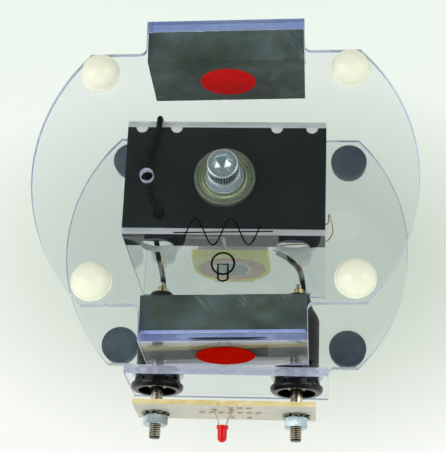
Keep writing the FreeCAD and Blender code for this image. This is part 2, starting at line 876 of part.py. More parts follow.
def right_lead():
    """Black lead: in by the wall's foot and across to the coil's right side."""
    points = [
        lead_start(1),
        lead_foot(1),
        V(lead_hole_x, frame_inner_front + 4.0, lead_hole_z + 0.2),
        right_lead_bend(),
        right_lead_end(),
    ]
    return cord(points, lead_radius)


def left_coil_wire():
    """Enamelled wire from the lead's end, along the block's grooves and down to the coil."""
    groove_z = wire_groove_top - wire_groove_width / 2
    groove_y = frame_inner_front + wire_groove_depth / 2
    points = [
        V(wire_hole_x, wire_hole_y, lead_level - 4.4),
        V(wire_hole_x, wire_hole_y, groove_z),
        V(wire_hole_x - 0.1, groove_y + 0.65, groove_z),
        V(wire_hole_x + 0.5, groove_y, groove_z),
        V(wire_groove_x - 0.65, groove_y, groove_z),
        V(wire_groove_x, groove_y, groove_z - 0.7),
        V(wire_groove_x, groove_y, top_block_bottom - 3.0),
        V(0.2, -8.4, coil_axis_z + tape_radius + coil_wire_radius),
    ]
    return cord(points, coil_wire_radius)


def right_coil_wire():
    """Enamelled wire from the lead's end, in a slack loop past the frame's front corner."""
    points = [
        right_lead_end(),
        along(right_lead_end(), right_lead_bend(), -1.6),
        V(13.4, -3.6, 20.6),
        V(19.0, -5.0, 26.0),
        V(frame_half_width - 2.8, -9.0, 38.0),
        V(frame_half_width + 1.1, -14.0, 54.0),
        V(frame_half_width + 2.4, -15.5, 65.0),
        V(frame_half_width + 2.2, -15.2, 70.0),
        V(frame_half_width + 1.6, -13.4, 71.6),
        V(frame_half_width + 1.1, -11.0, 69.5),
        V(frame_half_width + 1.0, -9.6, 56.5),
        V(26.0, -7.5, 49.5),
        V(13.0, -6.6, 41.5),
        V(3.0, -6.2, coil_axis_z + tape_radius + coil_wire_radius - 0.3),
    ]
    return cord(points, coil_wire_radius)


# ---- write every sub-part -----------------------------------------------------------------

print("origin shift", round(origin_shift, 3))
os.makedirs("parts", exist_ok=True)

save("base_plate", base_plate())
save("feet", *[foot(x, y) for x, y in near_corners(foot_inset)])
save("coil_frame", coil_frame())
save("top_block", top_block())
save("bearing_outer_ring", bearing_outer_ring())
save("bearing_shields", bearing_shield(bearing_bottom + 0.2),
     bearing_shield(bearing_top - 0.2 - shield_thickness))
save("coil_cradle", coil_cradle())
save("coil_flanges", coil_flange(coil_front, coil_front + flange_thickness),
     coil_flange(coil_rear - flange_thickness, coil_rear))
save("coil_tape", coil_tape())
save("coil_winding", coil_winding())
save("core_sleeve", core_sleeve())
save("coil_core", coil_core())
for side, label in ((-1, "left"), (1, "right")):
    save("socket_shell_" + label, socket_shell(side * socket_x))
    save("socket_nut_" + label, socket_nut(side * socket_x))
    save("socket_sleeve_" + label, socket_sleeve(side * socket_x))
    save("socket_contact_" + label, socket_contact(side * socket_x))
save("bare_strands", bare_strand(-1), bare_strand(1))
save("lead_left", left_lead())
save("lead_right", right_lead())
save("coil_wires", left_coil_wire(), right_coil_wire())

save("bearing_balls", *bearing_balls())
save("bearing_cage", bearing_cage())

save_turned("rotor_plate", rotor_plate())
tab_inner = tab_reach - sheet
front_back = tab_inner - glue_pad_thickness
rear_inner = tab_inner - magnet_thickness
save_turned("magnet_rear", magnet(tab_inner))
save_turned("magnet_front", mirrored_y(magnet(front_back)))
save_turned("magnet_glue_pad", glue_pad(-tab_inner, -front_back))
save_turned("pole_label_front", pole_label(-tab_reach - pole_label_thickness, -tab_reach,
                                           front_label_drop))
save_turned("pole_label_rear", pole_label(rear_inner - pole_label_thickness, rear_inner,
                                          rear_label_drop))
save_turned("domes", *[dome(x, y) for x, y in near_corners(dome_inset)])
save_turned("hub_screw", hub_screw())
save_turned("hub_washer", ring_z(hub_washer_radius, hub_hole_radius, rotor_top,
                                 rotor_top + hub_washer_thickness))
save_turned("hub_shim", ring_z(hub_spacer_radius, bearing_bore_radius, bearing_top, rotor_bottom))
save_turned("bearing_inner_ring", bearing_inner_ring())
save_turned("hub_spacer", ring_z(hub_spacer_radius, bearing_bore_radius,
                                 bearing_bottom - hub_spacer_thickness, bearing_bottom))
save_turned("hub_nut", hub_nut())

save("module_board", module_board())
for side, label in ((-1, "left"), (1, "right")):
    save("plug_pin_" + label, plug_pin(side * socket_x))
save("lock_washers", lock_washer(-socket_x, 8), lock_washer(socket_x, 20))
save("board_nuts", *[hex_nut(nut_flats, stud_radius, V(side * socket_x, nut_front, socket_z),
                             V(side * socket_x, nut_back, socket_z), turn)
                     for side, turn in ((-1, 6), (1, 24))])
save("led_lens", led_lens())
save("led_leads", led_lead(-1), led_lead(1))
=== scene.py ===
# %% [markdown]
# # A clear classroom motor
# The real object is a small teaching machine: two ferrite magnets hang under a clear sheet that turns
# on a ball bearing, above a coil in a clear frame. Two sockets in front carry a board with a red lamp.
# The solids are loaded first, as a fixed frame. Each cell then either gives a solid its finish, or
# makes a finer mesh that stands in its place. Everything is in metres, with +Z up.

# %% Load the frame
import math

import bmesh
import bpy
from mathutils import Matrix, Vector, noise
from mathutils.bvhtree import BVHTree


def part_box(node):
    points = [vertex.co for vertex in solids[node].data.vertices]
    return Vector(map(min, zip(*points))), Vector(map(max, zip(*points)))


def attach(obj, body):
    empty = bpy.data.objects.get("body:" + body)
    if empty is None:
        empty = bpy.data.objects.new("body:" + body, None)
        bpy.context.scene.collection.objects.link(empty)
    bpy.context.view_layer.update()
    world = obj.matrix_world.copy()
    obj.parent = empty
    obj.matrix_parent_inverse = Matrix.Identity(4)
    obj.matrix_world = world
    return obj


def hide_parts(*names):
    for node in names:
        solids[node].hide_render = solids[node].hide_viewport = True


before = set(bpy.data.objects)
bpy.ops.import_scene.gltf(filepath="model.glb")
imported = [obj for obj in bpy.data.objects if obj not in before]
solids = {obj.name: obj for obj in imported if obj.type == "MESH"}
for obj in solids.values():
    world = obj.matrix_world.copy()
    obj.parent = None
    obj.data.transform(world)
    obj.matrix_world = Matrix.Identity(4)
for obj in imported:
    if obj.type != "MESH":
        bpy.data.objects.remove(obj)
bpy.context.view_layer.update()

# %% [markdown]
# ## Sizes that the pieces share
# A scene is easier to keep right when places are read from the frame, not typed again. The rotor's
# axis is the middle of the bearing's outer ring, and at rest the rotor stands 1.5 degrees round.
# Two matrices take what is made about the origin to its place on the rotor or on the base. Where a
# piece only stands on clear sheet, a hair of air is left between them, as on the real object.

# %% Shared sizes and places
MM = 0.001
ring_low, ring_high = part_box("bearing_outer_ring")
axis_y = (ring_low.y + ring_high.y) / 2
rotor_turn = math.radians(1.5)
on_rotor = Matrix.Translation((0, axis_y, 0)) @ Matrix.Rotation(rotor_turn, 4, "Z")
on_base = Matrix.Translation((0, axis_y, 0))
rotor_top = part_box("rotor_plate")[1].z
sheet_thickness = 3 * MM
frame_thickness = 2 * MM
air_gap = 0.04 * MM
print("rotor axis at y =", round(axis_y / MM, 3), "mm")

# %% [markdown]
# ## Camera
# A camera is a place, three directions and a focal length. The view is from in front and high up,
# 68 degrees above the bench and 11 degrees to the right, with a long lens, which bends shapes little.
# The three directions go straight into the camera's matrix, so nothing has to be aimed by eye.
# Light bounces many times inside a clear sheet before it leaves by an edge, so the limits go up.

# %% Camera
camera_place = Vector((32.695, -168.060, 491.385)) * MM
camera_right = Vector((0.99731, 0.03668, -0.06343))
camera_up = Vector((-0.01122, 0.9319, 0.36255))
camera_forward = camera_right.cross(camera_up)
camera_data = bpy.data.cameras.new("view")
camera_data.sensor_fit = "VERTICAL"
camera_data.sensor_height = 36.0
camera_data.lens = 117.22
camera_data.clip_start = 0.01
camera = bpy.data.objects.new("view", camera_data)
turn = Matrix((camera_right, camera_up, camera_forward)).transposed().to_4x4()
camera.matrix_world = Matrix.Translation(camera_place) @ turn
bpy.context.scene.collection.objects.link(camera)
bpy.context.scene.camera = camera
bpy.context.scene.view_settings.view_transform = "Standard"
clear_bounces = 24
cycles = bpy.context.scene.cycles
cycles.max_bounces = clear_bounces
cycles.transmission_bounces = clear_bounces
cycles.transparent_max_bounces = clear_bounces
cycles.glossy_bounces = 20
print("camera at", [round(v, 3) for v in camera_place], "looks along", [round(-v, 3) for v in camera_forward])

# %% [markdown]
# ## Helpers for nodes
# A material in Blender is a small network. The first two helpers add a node and join two sockets, so
# that each finish below reads as a list of what it does. The third starts a material, and the fourth
# gives the place on the piece where a pattern is read.

# %% Node helpers
def add_node(tree, kind, **settings):
    made = tree.nodes.new(kind)
    for key, value in settings.items():
        setattr(made, key, value)
    return made


def join(tree, start, end):
    tree.links.new(start, end)


def new_finish(name, **plain):
    """Material with a Principled shader, whose plain values are set on its own sockets."""
    material = bpy.data.materials.new(name)
    material.use_nodes = True
    shader = material.node_tree.nodes["Principled BSDF"]
    for socket, value in plain.items():
        shader.inputs[socket.replace("_", " ")].default_value = value
    return material, material.node_tree, shader


def spot(tree, stretch=(1, 1, 1), turn=(0, 0, 0)):
    """Object coordinates, stretched and turned: where on the piece a pattern is read."""
    place = add_node(tree, "ShaderNodeTexCoord")
    mapping = add_node(tree, "ShaderNodeMapping")
    mapping.inputs["Scale"].default_value = stretch
    mapping.inputs["Rotation"].default_value = turn
    join(tree, place.outputs["Object"], mapping.inputs["Vector"])
    return mapping.outputs["Vector"]


print("helpers for nodes: add_node, join, new_finish, spot")

# %% [markdown]
# ## Shared effects
# Three effects come back in many finishes, so each is a node group: cloudy variation, fine straight
# scratches and dust specks. A group puts out only masks, and each finish decides what a mask does.
# Scales are in waves per metre.

# %% Groups for cloud, scratches and specks
def new_group(name, inputs, outputs):
    """Shader group that takes a place and numbers and gives masks, with its first and last node."""
    group = bpy.data.node_groups.new(name, "ShaderNodeTree")
    group.interface.new_socket("Place", in_out="INPUT", socket_type="NodeSocketVector")
    for label, value in inputs.items():
        made = group.interface.new_socket(label, in_out="INPUT", socket_type="NodeSocketFloat")
        made.default_value = value
    for label in outputs:
        group.interface.new_socket(label, in_out="OUTPUT", socket_type="NodeSocketFloat")
    return group, add_node(group, "NodeGroupInput"), add_node(group, "NodeGroupOutput")


def ranged(tree, value, low, high, to_low=0.0, to_high=1.0):
    """The value's stretch from low to high, spread over to_low to to_high and clamped."""
    ramp = add_node(tree, "ShaderNodeMapRange")
    ramp.inputs["From Min"].default_value = low
    ramp.inputs["From Max"].default_value = high
    ramp.inputs["To Min"].default_value = to_low
    ramp.inputs["To Max"].default_value = to_high
    join(tree, value, ramp.inputs["Value"])
    return ramp.outputs["Result"]


def make_cloud():
    """Two masks: a broad cloud, and one seven times finer."""
    group, start, end = new_group("cloud", {"Scale": 120.0, "Detail": 4.0}, ["Mask", "Fine"])
    broad = add_node(group, "ShaderNodeTexNoise")
    fine = add_node(group, "ShaderNodeTexNoise")
    finer = add_node(group, "ShaderNodeMath", operation="MULTIPLY")
    finer.inputs[1].default_value = 7.0
    join(group, start.outputs["Place"], broad.inputs["Vector"])
    join(group, start.outputs["Place"], fine.inputs["Vector"])
    join(group, start.outputs["Scale"], broad.inputs["Scale"])
    join(group, start.outputs["Scale"], finer.inputs[0])
    join(group, finer.outputs[0], fine.inputs["Scale"])
    join(group, start.outputs["Detail"], broad.inputs["Detail"])
    join(group, ranged(group, broad.outputs["Fac"], 0.3, 0.7), end.inputs["Mask"])
    join(group, ranged(group, fine.outputs["Fac"], 0.3, 0.7), end.inputs["Fine"])
    return group


def make_scratches():
    """Long thin marks along X: a noise stretched fifty times, cut near one level, in patches."""
    group, start, end = new_group("scratches", {"Scale": 900.0, "Share": 0.1}, ["Mask"])
    longer = add_node(group, "ShaderNodeVectorMath", operation="MULTIPLY")
    longer.inputs[1].default_value = (0.02, 1.0, 1.0)
    lines = add_node(group, "ShaderNodeTexNoise")
    lines.inputs["Detail"].default_value = 2.0
    patches = add_node(group, "ShaderNodeTexNoise")
    patches.inputs["Scale"].default_value = 130.0
    level = add_node(group, "ShaderNodeMath", operation="SUBTRACT")
    level.inputs[0].default_value = 0.78
    above = add_node(group, "ShaderNodeMath", operation="SUBTRACT")
    both = add_node(group, "ShaderNodeMath", operation="MULTIPLY")
    join(group, start.outputs["Place"], longer.inputs[0])
    join(group, longer.outputs["Vector"], lines.inputs["Vector"])
    join(group, start.outputs["Scale"], lines.inputs["Scale"])
    join(group, start.outputs["Place"], patches.inputs["Vector"])
    join(group, start.outputs["Share"], level.inputs[1])
    join(group, lines.outputs["Fac"], above.inputs[0])
    join(group, level.outputs[0], above.inputs[1])
    join(group, ranged(group, above.outputs[0], 0.0, 0.06), both.inputs[0])
    join(group, ranged(group, patches.outputs["Fac"], 0.42, 0.6), both.inputs[1])
    join(group, both.outputs[0], end.inputs["Mask"])
    return group


def make_specks():
    """Small round dots: the middles of a few cells, sized by chance."""
    group, start, end = new_group("specks", {"Scale": 500.0, "Size": 0.12, "Share": 0.2}, ["Mask"])
    cells = add_node(group, "ShaderNodeTexVoronoi")
    chance = add_node(group, "ShaderNodeSeparateColor")
    chosen = add_node(group, "ShaderNodeMath", operation="LESS_THAN")
    near = add_node(group, "ShaderNodeMath", operation="LESS_THAN")
    both = add_node(group, "ShaderNodeMath", operation="MULTIPLY")
    join(group, start.outputs["Place"], cells.inputs["Vector"])
    join(group, start.outputs["Scale"], cells.inputs["Scale"])
    join(group, cells.outputs["Color"], chance.inputs["Color"])
    join(group, chance.outputs["Red"], chosen.inputs[0])
    join(group, start.outputs["Share"], chosen.inputs[1])
    join(group, cells.outputs["Distance"], near.inputs[0])
    join(group, start.outputs["Size"], near.inputs[1])
    join(group, chosen.outputs[0], both.inputs[0])
    join(group, near.outputs[0], both.inputs[1])
    join(group, both.outputs[0], end.inputs["Mask"])
    return group


effects = {"cloud": make_cloud(), "scratches": make_scratches(), "specks": make_specks()}
print("shared effects:", sorted(effects))


# %% [markdown]
# ## From masks to a surface
# Most finishes here are the same idea with other numbers: two close colours mixed by a cloud, a
# roughness that wanders between two values, and a faint relief. One function holds that idea, and
# each finish adds what is its own, such as scratches on ferrite or dust on black plastic.

# %% Two colours, two roughnesses, one relief
def use_effect(tree, name, place, **values):
    made = add_node(tree, "ShaderNodeGroup", node_tree=effects[name])
    join(tree, place, made.inputs["Place"])
    for socket, value in values.items():
        made.inputs[socket].default_value = value
    return made


def mixed(tree, mask, start, end):
    """Colour between start and end by the mask. Each end is a colour or a socket."""
    made = add_node(tree, "ShaderNodeMix", data_type="RGBA")
    join(tree, mask, made.inputs[0])
    for side, value in ((6, start), (7, end)):
        if isinstance(value, tuple):
            made.inputs[side].default_value = (*value, 1.0)
        else:
            join(tree, value, made.inputs[side])
    return made.outputs[2]


def relief(tree, shader, height, depth):
    """Bumps as deep as depth, in metres, where the height is 1."""
    bump = add_node(tree, "ShaderNodeBump")
    bump.inputs["Strength"].default_value = 1.0
    bump.inputs["Distance"].default_value = depth
    join(tree, height, bump.inputs["Height"])
    join(tree, bump.outputs["Normal"], shader.inputs["Normal"])


def cloudy_finish(name, dark, light, rough, scale=150.0, depth=0.01, stretch=(1, 1, 1), **plain):
    """Two colours, a range of roughness and a relief, whose depth is in millimetres."""
    material, tree, shader = new_finish(name, **plain)
    place = spot(tree, stretch)
    cloud = use_effect(tree, "cloud", place, Scale=scale)
    join(tree, mixed(tree, cloud.outputs["Mask"], dark, light), shader.inputs["Base Color"])
    join(tree, ranged(tree, cloud.outputs["Fine"], 0, 1, *rough), shader.inputs["Roughness"])
    relief(tree, shader, cloud.outputs["Fine"], depth * MM)
    return material, tree, shader, place


def colour_over(tree, shader, mask, colour):
    """Lays a colour over the one that the finish has so far, where the mask is 1."""
    under = shader.inputs["Base Color"].links[0].from_socket
    join(tree, mixed(tree, mask, under, colour), shader.inputs["Base Color"])


def add_dust(tree, shader, place, colour, scale=420.0, size=0.07, share=0.12):
    """Pale specks over whatever colour the finish has so far."""
    specks = use_effect(tree, "specks", place, Scale=scale, Size=size, Share=share)
    colour_over(tree, shader, specks.outputs["Mask"], colour)


print("finishes start from a cloud between two colours, with one relief")

# %% [markdown]
# ## Clear sheet
# The sheets are clear plastic. Three things make it look real: it bends light (IOR 1.585, as
# polycarbonate does), it takes out a little red and green over a long path, so that cut edges turn
# lavender, and lamps shine through it. The last is a trick: a path tracer finds lamps badly through
# glass, so rays on their way to a lamp see a transparent shader.

# %% Clear sheet and its cut edges
def let_lamps_through(tree, shader, tint):
    """Rays on their way to a lamp pass with only a small loss."""
    rays = add_node(tree, "ShaderNodeLightPath")
    clear = add_node(tree, "ShaderNodeBsdfTransparent")
    clear.inputs["Color"].default_value = (*tint, 1.0)
    choice = add_node(tree, "ShaderNodeMixShader")
    output = tree.nodes["Material Output"]
    join(tree, rays.outputs["Is Shadow Ray"], choice.inputs[0])
    join(tree, shader.outputs[0], choice.inputs[1])
    join(tree, clear.outputs[0], choice.inputs[2])
    join(tree, choice.outputs[0], output.inputs["Surface"])


def clear_sheet_finish(name, loss, tint):
    """Polished clear plastic with a very slight haze of handling, and a tint along long paths."""
    material, tree, shader = new_finish(name, Base_Color=(0.99, 0.995, 0.99, 1), IOR=1.585,
                                        Transmission_Weight=1.0)
    cloud = use_effect(tree, "cloud", spot(tree), Scale=60.0)
    join(tree, ranged(tree, cloud.outputs["Mask"], 0.6, 1.0, 0.0, 0.035), shader.inputs["Roughness"])
    let_lamps_through(tree, shader, (0.93, 0.945, 0.935))
    volume = add_node(tree, "ShaderNodeVolumeAbsorption")
    volume.inputs["Color"].default_value = (*tint, 1.0)
    volume.inputs["Density"].default_value = loss
    join(tree, volume.outputs[0], tree.nodes["Material Output"].inputs["Volume"])
    return material


def cut_edge_finish(name, dark, light, rough):
    """Machined edge: fine saw lines across it, half clear and half frosted."""
    material, tree, shader = new_finish(name, IOR=1.5, Transmission_Weight=0.45)
    place = spot(tree)
    lines = use_effect(tree, "cloud", spot(tree, (0.06, 1.0, 0.06)), Scale=900.0)
    cloud = use_effect(tree, "cloud", place, Scale=110.0)
    tone = mixed(tree, cloud.outputs["Mask"], dark, light)
    join(tree, mixed(tree, lines.outputs["Mask"], tone, light), shader.inputs["Base Color"])
    join(tree, ranged(tree, lines.outputs["Fine"], 0, 1, *rough), shader.inputs["Roughness"])
    relief(tree, shader, lines.outputs["Mask"], 0.02 * MM)
    let_lamps_through(tree, shader, (0.7, 0.7, 0.75))
    return material


clear_sheet = clear_sheet_finish("clear_sheet", 12.0, (0.20, 0.46, 0.98))
lavender_edge = cut_edge_finish("lavender_edge", (0.50, 0.55, 0.72), (0.74, 0.78, 0.92), (0.15, 0.35))
frosted_edge = cut_edge_finish("frosted_edge", (0.46, 0.49, 0.47), (0.74, 0.77, 0.75), (0.35, 0.6))
print("made", clear_sheet.name, lavender_edge.name, frosted_edge.name)

# %% [markdown]
# ## Plastics and rubber
# The block is black plastic that shows every speck of dust. The feet are slate-dark rubber under the
# clear base, the bumpers on top are cream rubber, and the coil former is yellow-green plastic. Each
# is the cloudy finish with its own colours, and dust or scratches are laid over it.

# %% Finishes for plastics and rubber
def black_block_finish():
    material, tree, shader, place = cloudy_finish(
        "block_black", (0.0030, 0.0065, 0.0055), (0.0060, 0.0115, 0.0095), (0.34, 0.48), 60.0, 0.003,
        Specular_IOR_Level=0.2)
    add_dust(tree, shader, place, (0.13, 0.16, 0.13), 420.0, 0.05, 0.12)
    marks = use_effect(tree, "scratches", spot(tree, turn=(0, 0, 0.7)), Scale=700.0, Share=0.04)
    colour_over(tree, shader, marks.outputs["Mask"], (0.05, 0.06, 0.05))
    return material


def socket_black_finish():
    material, tree, shader, place = cloudy_finish(
        "socket_black", (0.003, 0.0035, 0.004), (0.008, 0.009, 0.010), (0.14, 0.28), 260.0, 0.006,
        Specular_IOR_Level=0.32)
    add_dust(tree, shader, place, (0.12, 0.13, 0.125), 700.0, 0.06, 0.10)
    return material


def rubber_finish(name, dark, light, rough, speck, shine=0.5):
    material, tree, shader, place = cloudy_finish(name, dark, light, rough, 240.0, 0.03,
                                                  Specular_IOR_Level=shine)
    add_dust(tree, shader, place, speck, 600.0, 0.08, 0.12)
    return material


def cream_rubber_finish():
    material, tree, shader, place = cloudy_finish(
        "cream_rubber", (0.97, 0.97, 0.72), (0.99, 0.985, 0.80), (0.22, 0.28), 40.0, 0.001)
    add_dust(tree, shader, place, (0.62, 0.58, 0.40), 300.0, 0.05, 0.06)
    return material


block_black = black_block_finish()
socket_black = socket_black_finish()
foot_slate = rubber_finish("foot_slate", (0.040, 0.066, 0.078), (0.075, 0.112, 0.125), (0.45, 0.62),
                           (0.14, 0.17, 0.19))
boot_black = rubber_finish("boot_black", (0.006, 0.006, 0.006), (0.017, 0.018, 0.018), (0.4, 0.55),
                           (0.06, 0.06, 0.06), 0.22)
lead_black = rubber_finish("lead_black", (0.0012, 0.003, 0.0026), (0.003, 0.006, 0.005), (0.35, 0.5),
                           (0.02, 0.025, 0.022), 0.05)
tape_dark = rubber_finish("tape_dark", (0.016, 0.022, 0.018), (0.040, 0.048, 0.040), (0.35, 0.5),
                          (0.10, 0.10, 0.09))
cream_rubber = cream_rubber_finish()
former_yellow = cloudy_finish("former_yellow_green", (0.66, 0.66, 0.01), (0.92, 0.88, 0.04), (0.3, 0.45),
                              110.0, 0.008, Specular_IOR_Level=0.3)[0]
sleeve_white = cloudy_finish("sleeve_white", (0.62, 0.64, 0.60), (0.84, 0.85, 0.80), (0.35, 0.5), 200.0)[0]
print("materials so far:", len(bpy.data.materials))

# %% [markdown]
# ## Metals
# Zinc plate is bright and slightly blue, with a fine unevenness. Brass and nickel are warm. Copper
# wire is enamelled, so it is pinkish and satin. Metals take their look from what they mirror, so
# their roughness matters most.

# %% Finishes for metals
def metal_finish(name, dark, light, rough, scale=300.0, depth=0.006, stretch=(1, 1, 1)):
    return cloudy_finish(name, dark, light, rough, scale, depth, stretch, Metallic=1.0)[0]


zinc_bright = metal_finish("zinc_bright", (0.30, 0.37, 0.40), (0.56, 0.66, 0.71), (0.2, 0.34), 260.0)
zinc_dark = metal_finish("zinc_dark", (0.14, 0.17, 0.12), (0.42, 0.47, 0.38), (0.16, 0.3), 500.0)
nickel_warm = metal_finish("nickel_warm", (0.38, 0.35, 0.26), (0.66, 0.61, 0.48), (0.16, 0.32), 420.0)
brass_plain = metal_finish("brass_plain", (0.48, 0.35, 0.12), (0.80, 0.66, 0.33), (0.18, 0.34), 350.0)
steel_ground = metal_finish("steel_ground", (0.40, 0.43, 0.36), (0.66, 0.69, 0.60), (0.28, 0.42), 500.0)
core_steel = metal_finish("core_steel", (0.05, 0.075, 0.065), (0.13, 0.16, 0.15), (0.3, 0.5), 300.0)
tinned_wire = metal_finish("tinned_wire", (0.42, 0.42, 0.40), (0.72, 0.71, 0.67), (0.2, 0.4), 500.0)
copper_wire = cloudy_finish("copper_enamel", (0.42, 0.16, 0.09), (0.72, 0.40, 0.28), (0.25, 0.45), 700.0,
                            0.004, Metallic=0.2)[0]
print("materials so far:", len(bpy.data.materials))

# %% [markdown]
# ## Stage and light
# The floor is pale paper. To the eye, to mirrors and through glass it shows mostly its own colour, and
# only a small part of it is lit by the lamps. That leaves hardly a shadow, so a soft oval shade is
# painted where the motor stands, and a painted shade makes the paper a little darker towards the back.
# The lamps are large and soft. The room is dim straight overhead, because flat clear sheets mirror that
# part of it towards the eye and would cover the black block with haze.

# %% Floor, room and lamps
floor_colour = (0.985, 1.0, 0.955)
# Colour of the paper far back: painted shade, a little darker than in front.
floor_back_painted_shade = (0.89, 0.965, 0.88)
floor_shade = (0.62, 0.70, 0.60)
own_light = 0.86
back_start, back_end = -0.03, 0.09
# The oval is a circle in squashed coordinates, so its shift and its two radii are measured in them.
oval_squash = (0.5, 0.85, 1.0)
oval_shift = (-0.005, -0.008, 0)
oval_dark, oval_clear = 0.027, 0.064


def make_floor():
    """A disc of paper six metres across."""
    bm = bmesh.new()
    bmesh.ops.create_circle(bm, cap_ends=True, radius=3.0, segments=96)
    mesh = bpy.data.meshes.new("floor")
    bm.to_mesh(mesh)
    bm.free()
    made = bpy.data.objects.new("floor", mesh)
    bpy.context.scene.collection.objects.link(made)
    return made


def floor_finish():
    """Paper: partly its own light for eye, mirror and glass rays, otherwise plain and lit."""
    material, tree, shader = new_finish("floor_paper", Roughness=0.9)
    shader.inputs["Specular IOR Level"].default_value = 0.0
    cloud = use_effect(tree, "cloud", spot(tree), Scale=3.0)
    pale = mixed(tree, cloud.outputs["Mask"], (0.86, 0.93, 0.84), (0.90, 0.96, 0.88))
    join(tree, pale, shader.inputs["Base Color"])
    rays = add_node(tree, "ShaderNodeLightPath")
    first = add_node(tree, "ShaderNodeMath", operation="MAXIMUM")
    second = add_node(tree, "ShaderNodeMath", operation="MAXIMUM")
    share = add_node(tree, "ShaderNodeMath", operation="MULTIPLY")
    share.inputs[1].default_value = own_light
    glow = add_node(tree, "ShaderNodeEmission")
    centred = add_node(tree, "ShaderNodeVectorMath", operation="LENGTH")
    oval = spot(tree, oval_squash)
    oval.node.inputs["Location"].default_value = oval_shift
    join(tree, oval, centred.inputs[0])
    away = ranged(tree, centred.outputs["Value"], oval_dark, oval_clear)
    depth = add_node(tree, "ShaderNodeSeparateXYZ")
    join(tree, spot(tree), depth.inputs[0])
    further = ranged(tree, depth.outputs["Y"], back_start, back_end)
    wide = mixed(tree, further, floor_colour, floor_back_painted_shade)
    join(tree, mixed(tree, away, floor_shade, wide), glow.inputs["Color"])
    choice = add_node(tree, "ShaderNodeMixShader")
    join(tree, rays.outputs["Is Camera Ray"], first.inputs[0])
    join(tree, rays.outputs["Is Glossy Ray"], first.inputs[1])
    join(tree, first.outputs[0], second.inputs[0])
    join(tree, rays.outputs["Is Transmission Ray"], second.inputs[1])
    join(tree, second.outputs[0], share.inputs[0])
    join(tree, share.outputs[0], choice.inputs[0])
    join(tree, shader.outputs[0], choice.inputs[1])
    join(tree, glow.outputs[0], choice.inputs[2])
    join(tree, choice.outputs[0], tree.nodes["Material Output"].inputs["Surface"])
    return material


floor = make_floor()
floor.data.materials.append(floor_finish())


def make_room():
    """Dim overhead, bright low round the sides, and the floor's colour where the eye sees it."""
    world = bpy.data.worlds.new("room")
    bpy.context.scene.world = world
    world.use_nodes = True
    tree = world.node_tree
    back = tree.nodes["Background"]
    where = add_node(tree, "ShaderNodeTexCoord")
    parts = add_node(tree, "ShaderNodeSeparateXYZ")
    join(tree, where.outputs["Generated"], parts.inputs[0])
    side_light, top_light = 0.75, 0.09
    dimmer = ranged(tree, parts.outputs["Z"], 0.35, 0.85, side_light, top_light)
    rays = add_node(tree, "ShaderNodeLightPath")
    tint = mixed(tree, rays.outputs["Is Camera Ray"], (0.90, 0.97, 1.0), floor_colour)
    level = add_node(tree, "ShaderNodeMix", data_type="FLOAT")
    level.inputs["B"].default_value = 1.0
    join(tree, rays.outputs["Is Camera Ray"], level.inputs["Factor"])
    join(tree, dimmer, level.inputs["A"])
    join(tree, tint, back.inputs["Color"])
    join(tree, level.outputs["Result"], back.inputs["Strength"])


def add_lamp(name, place, size, power):
    """White rectangular lamp that looks at the motor."""
    data = bpy.data.lights.new(name, "AREA")
    data.shape = "RECTANGLE"
    data.size = size[0]
    data.size_y = size[1]
    data.energy = power
    lamp = bpy.data.objects.new(name, data)
    lamp.location = place
    lamp.rotation_euler = (lamp_target - Vector(place)).to_track_quat("-Z", "Y").to_euler()
    bpy.context.scene.collection.objects.link(lamp)
    return lamp


make_room()
lamp_target = Vector((0, 0, 0.03))
add_lamp("softbox_left", (-0.85, -0.15, 0.95), (0.8, 1.0), 6.5)
add_lamp("softbox_right", (0.85, 0.10, 0.85), (0.6, 0.9), 3.8)
front_lamp = add_lamp("softbox_front", (0.10, -1.00, 0.80), (1.0, 0.5), 4.0)
front_lamp.visible_glossy = False
print("lamps:", len(bpy.data.lights))

# %% [markdown]
# ## Helpers for pieces
# Every finer piece ends the same way: it gets its finish, rides on a body and says which solid it
# stands for. Round parts are turned, as on a lathe, from an outline of radius and height in millimetres.

# %% Helpers that make and register pieces
def object_from(bm, name, finishes, sharp=35.0):
    """Object from a bmesh, with faces pointing out and edges sharper than the angle left sharp."""
    bmesh.ops.recalc_face_normals(bm, faces=bm.faces)
    mesh = bpy.data.meshes.new(name)
    bm.to_mesh(mesh)
    bm.free()
    mesh.shade_smooth()
    mesh.set_sharp_from_angle(angle=math.radians(sharp))
    for finish in finishes:
        mesh.materials.append(finish)
    made = bpy.data.objects.new(name, mesh)
    bpy.context.scene.collection.objects.link(made)
    return made


def register(piece, body, slot, *replaced):
    """Puts a piece on its body and hides the solids that it stands for. Its slot is not used."""
    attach(piece, body)
    if replaced:
        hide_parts(*replaced)
    print(f"{piece.name}: {len(piece.data.polygons)} faces on {body}")
    return piece


def turned(bm, outline, place, closed=False, segments=96):
    """Adds a solid of revolution about Z to bm, then moves it by place. Outline in millimetres."""
    rings = []
    for radius, height in outline:
        if radius == 0:
            rings.append([bm.verts.new((0, 0, height * MM))])
            continue
        ring = []
        for step in range(segments):
            angle = 2 * math.pi * step / segments
            ring.append(bm.verts.new((radius * MM * math.cos(angle), radius * MM * math.sin(angle),
                                      height * MM)))
        rings.append(ring)
    pairs = list(zip(rings, rings[1:]))
    if closed:
        pairs.append((rings[-1], rings[0]))
    for low, high in pairs:
        for step in range(segments):
            after = (step + 1) % segments
            corners = [low[step % len(low)], low[after % len(low)], high[after % len(high)],
                       high[step % len(high)]]
            face = list(dict.fromkeys(corners))
            if len(face) > 2:
                bm.faces.new(face)
    made = [vertex for ring in rings for vertex in ring]
    bmesh.ops.transform(bm, matrix=place, verts=made)
    return made


def merged_copy(node):
    """A bmesh of a solid's mesh, its loose triangles joined."""
    bm = bmesh.new()
    bm.from_mesh(solids[node].data)
    bmesh.ops.remove_doubles(bm, verts=bm.verts, dist=0.002 * MM)
    return bm


def join_flats(bm, **kept_apart):
    """Joins faces that lie in one plane."""
    bmesh.ops.dissolve_limit(bm, angle_limit=math.radians(0.5), verts=bm.verts, edges=bm.edges,
                             **kept_apart)


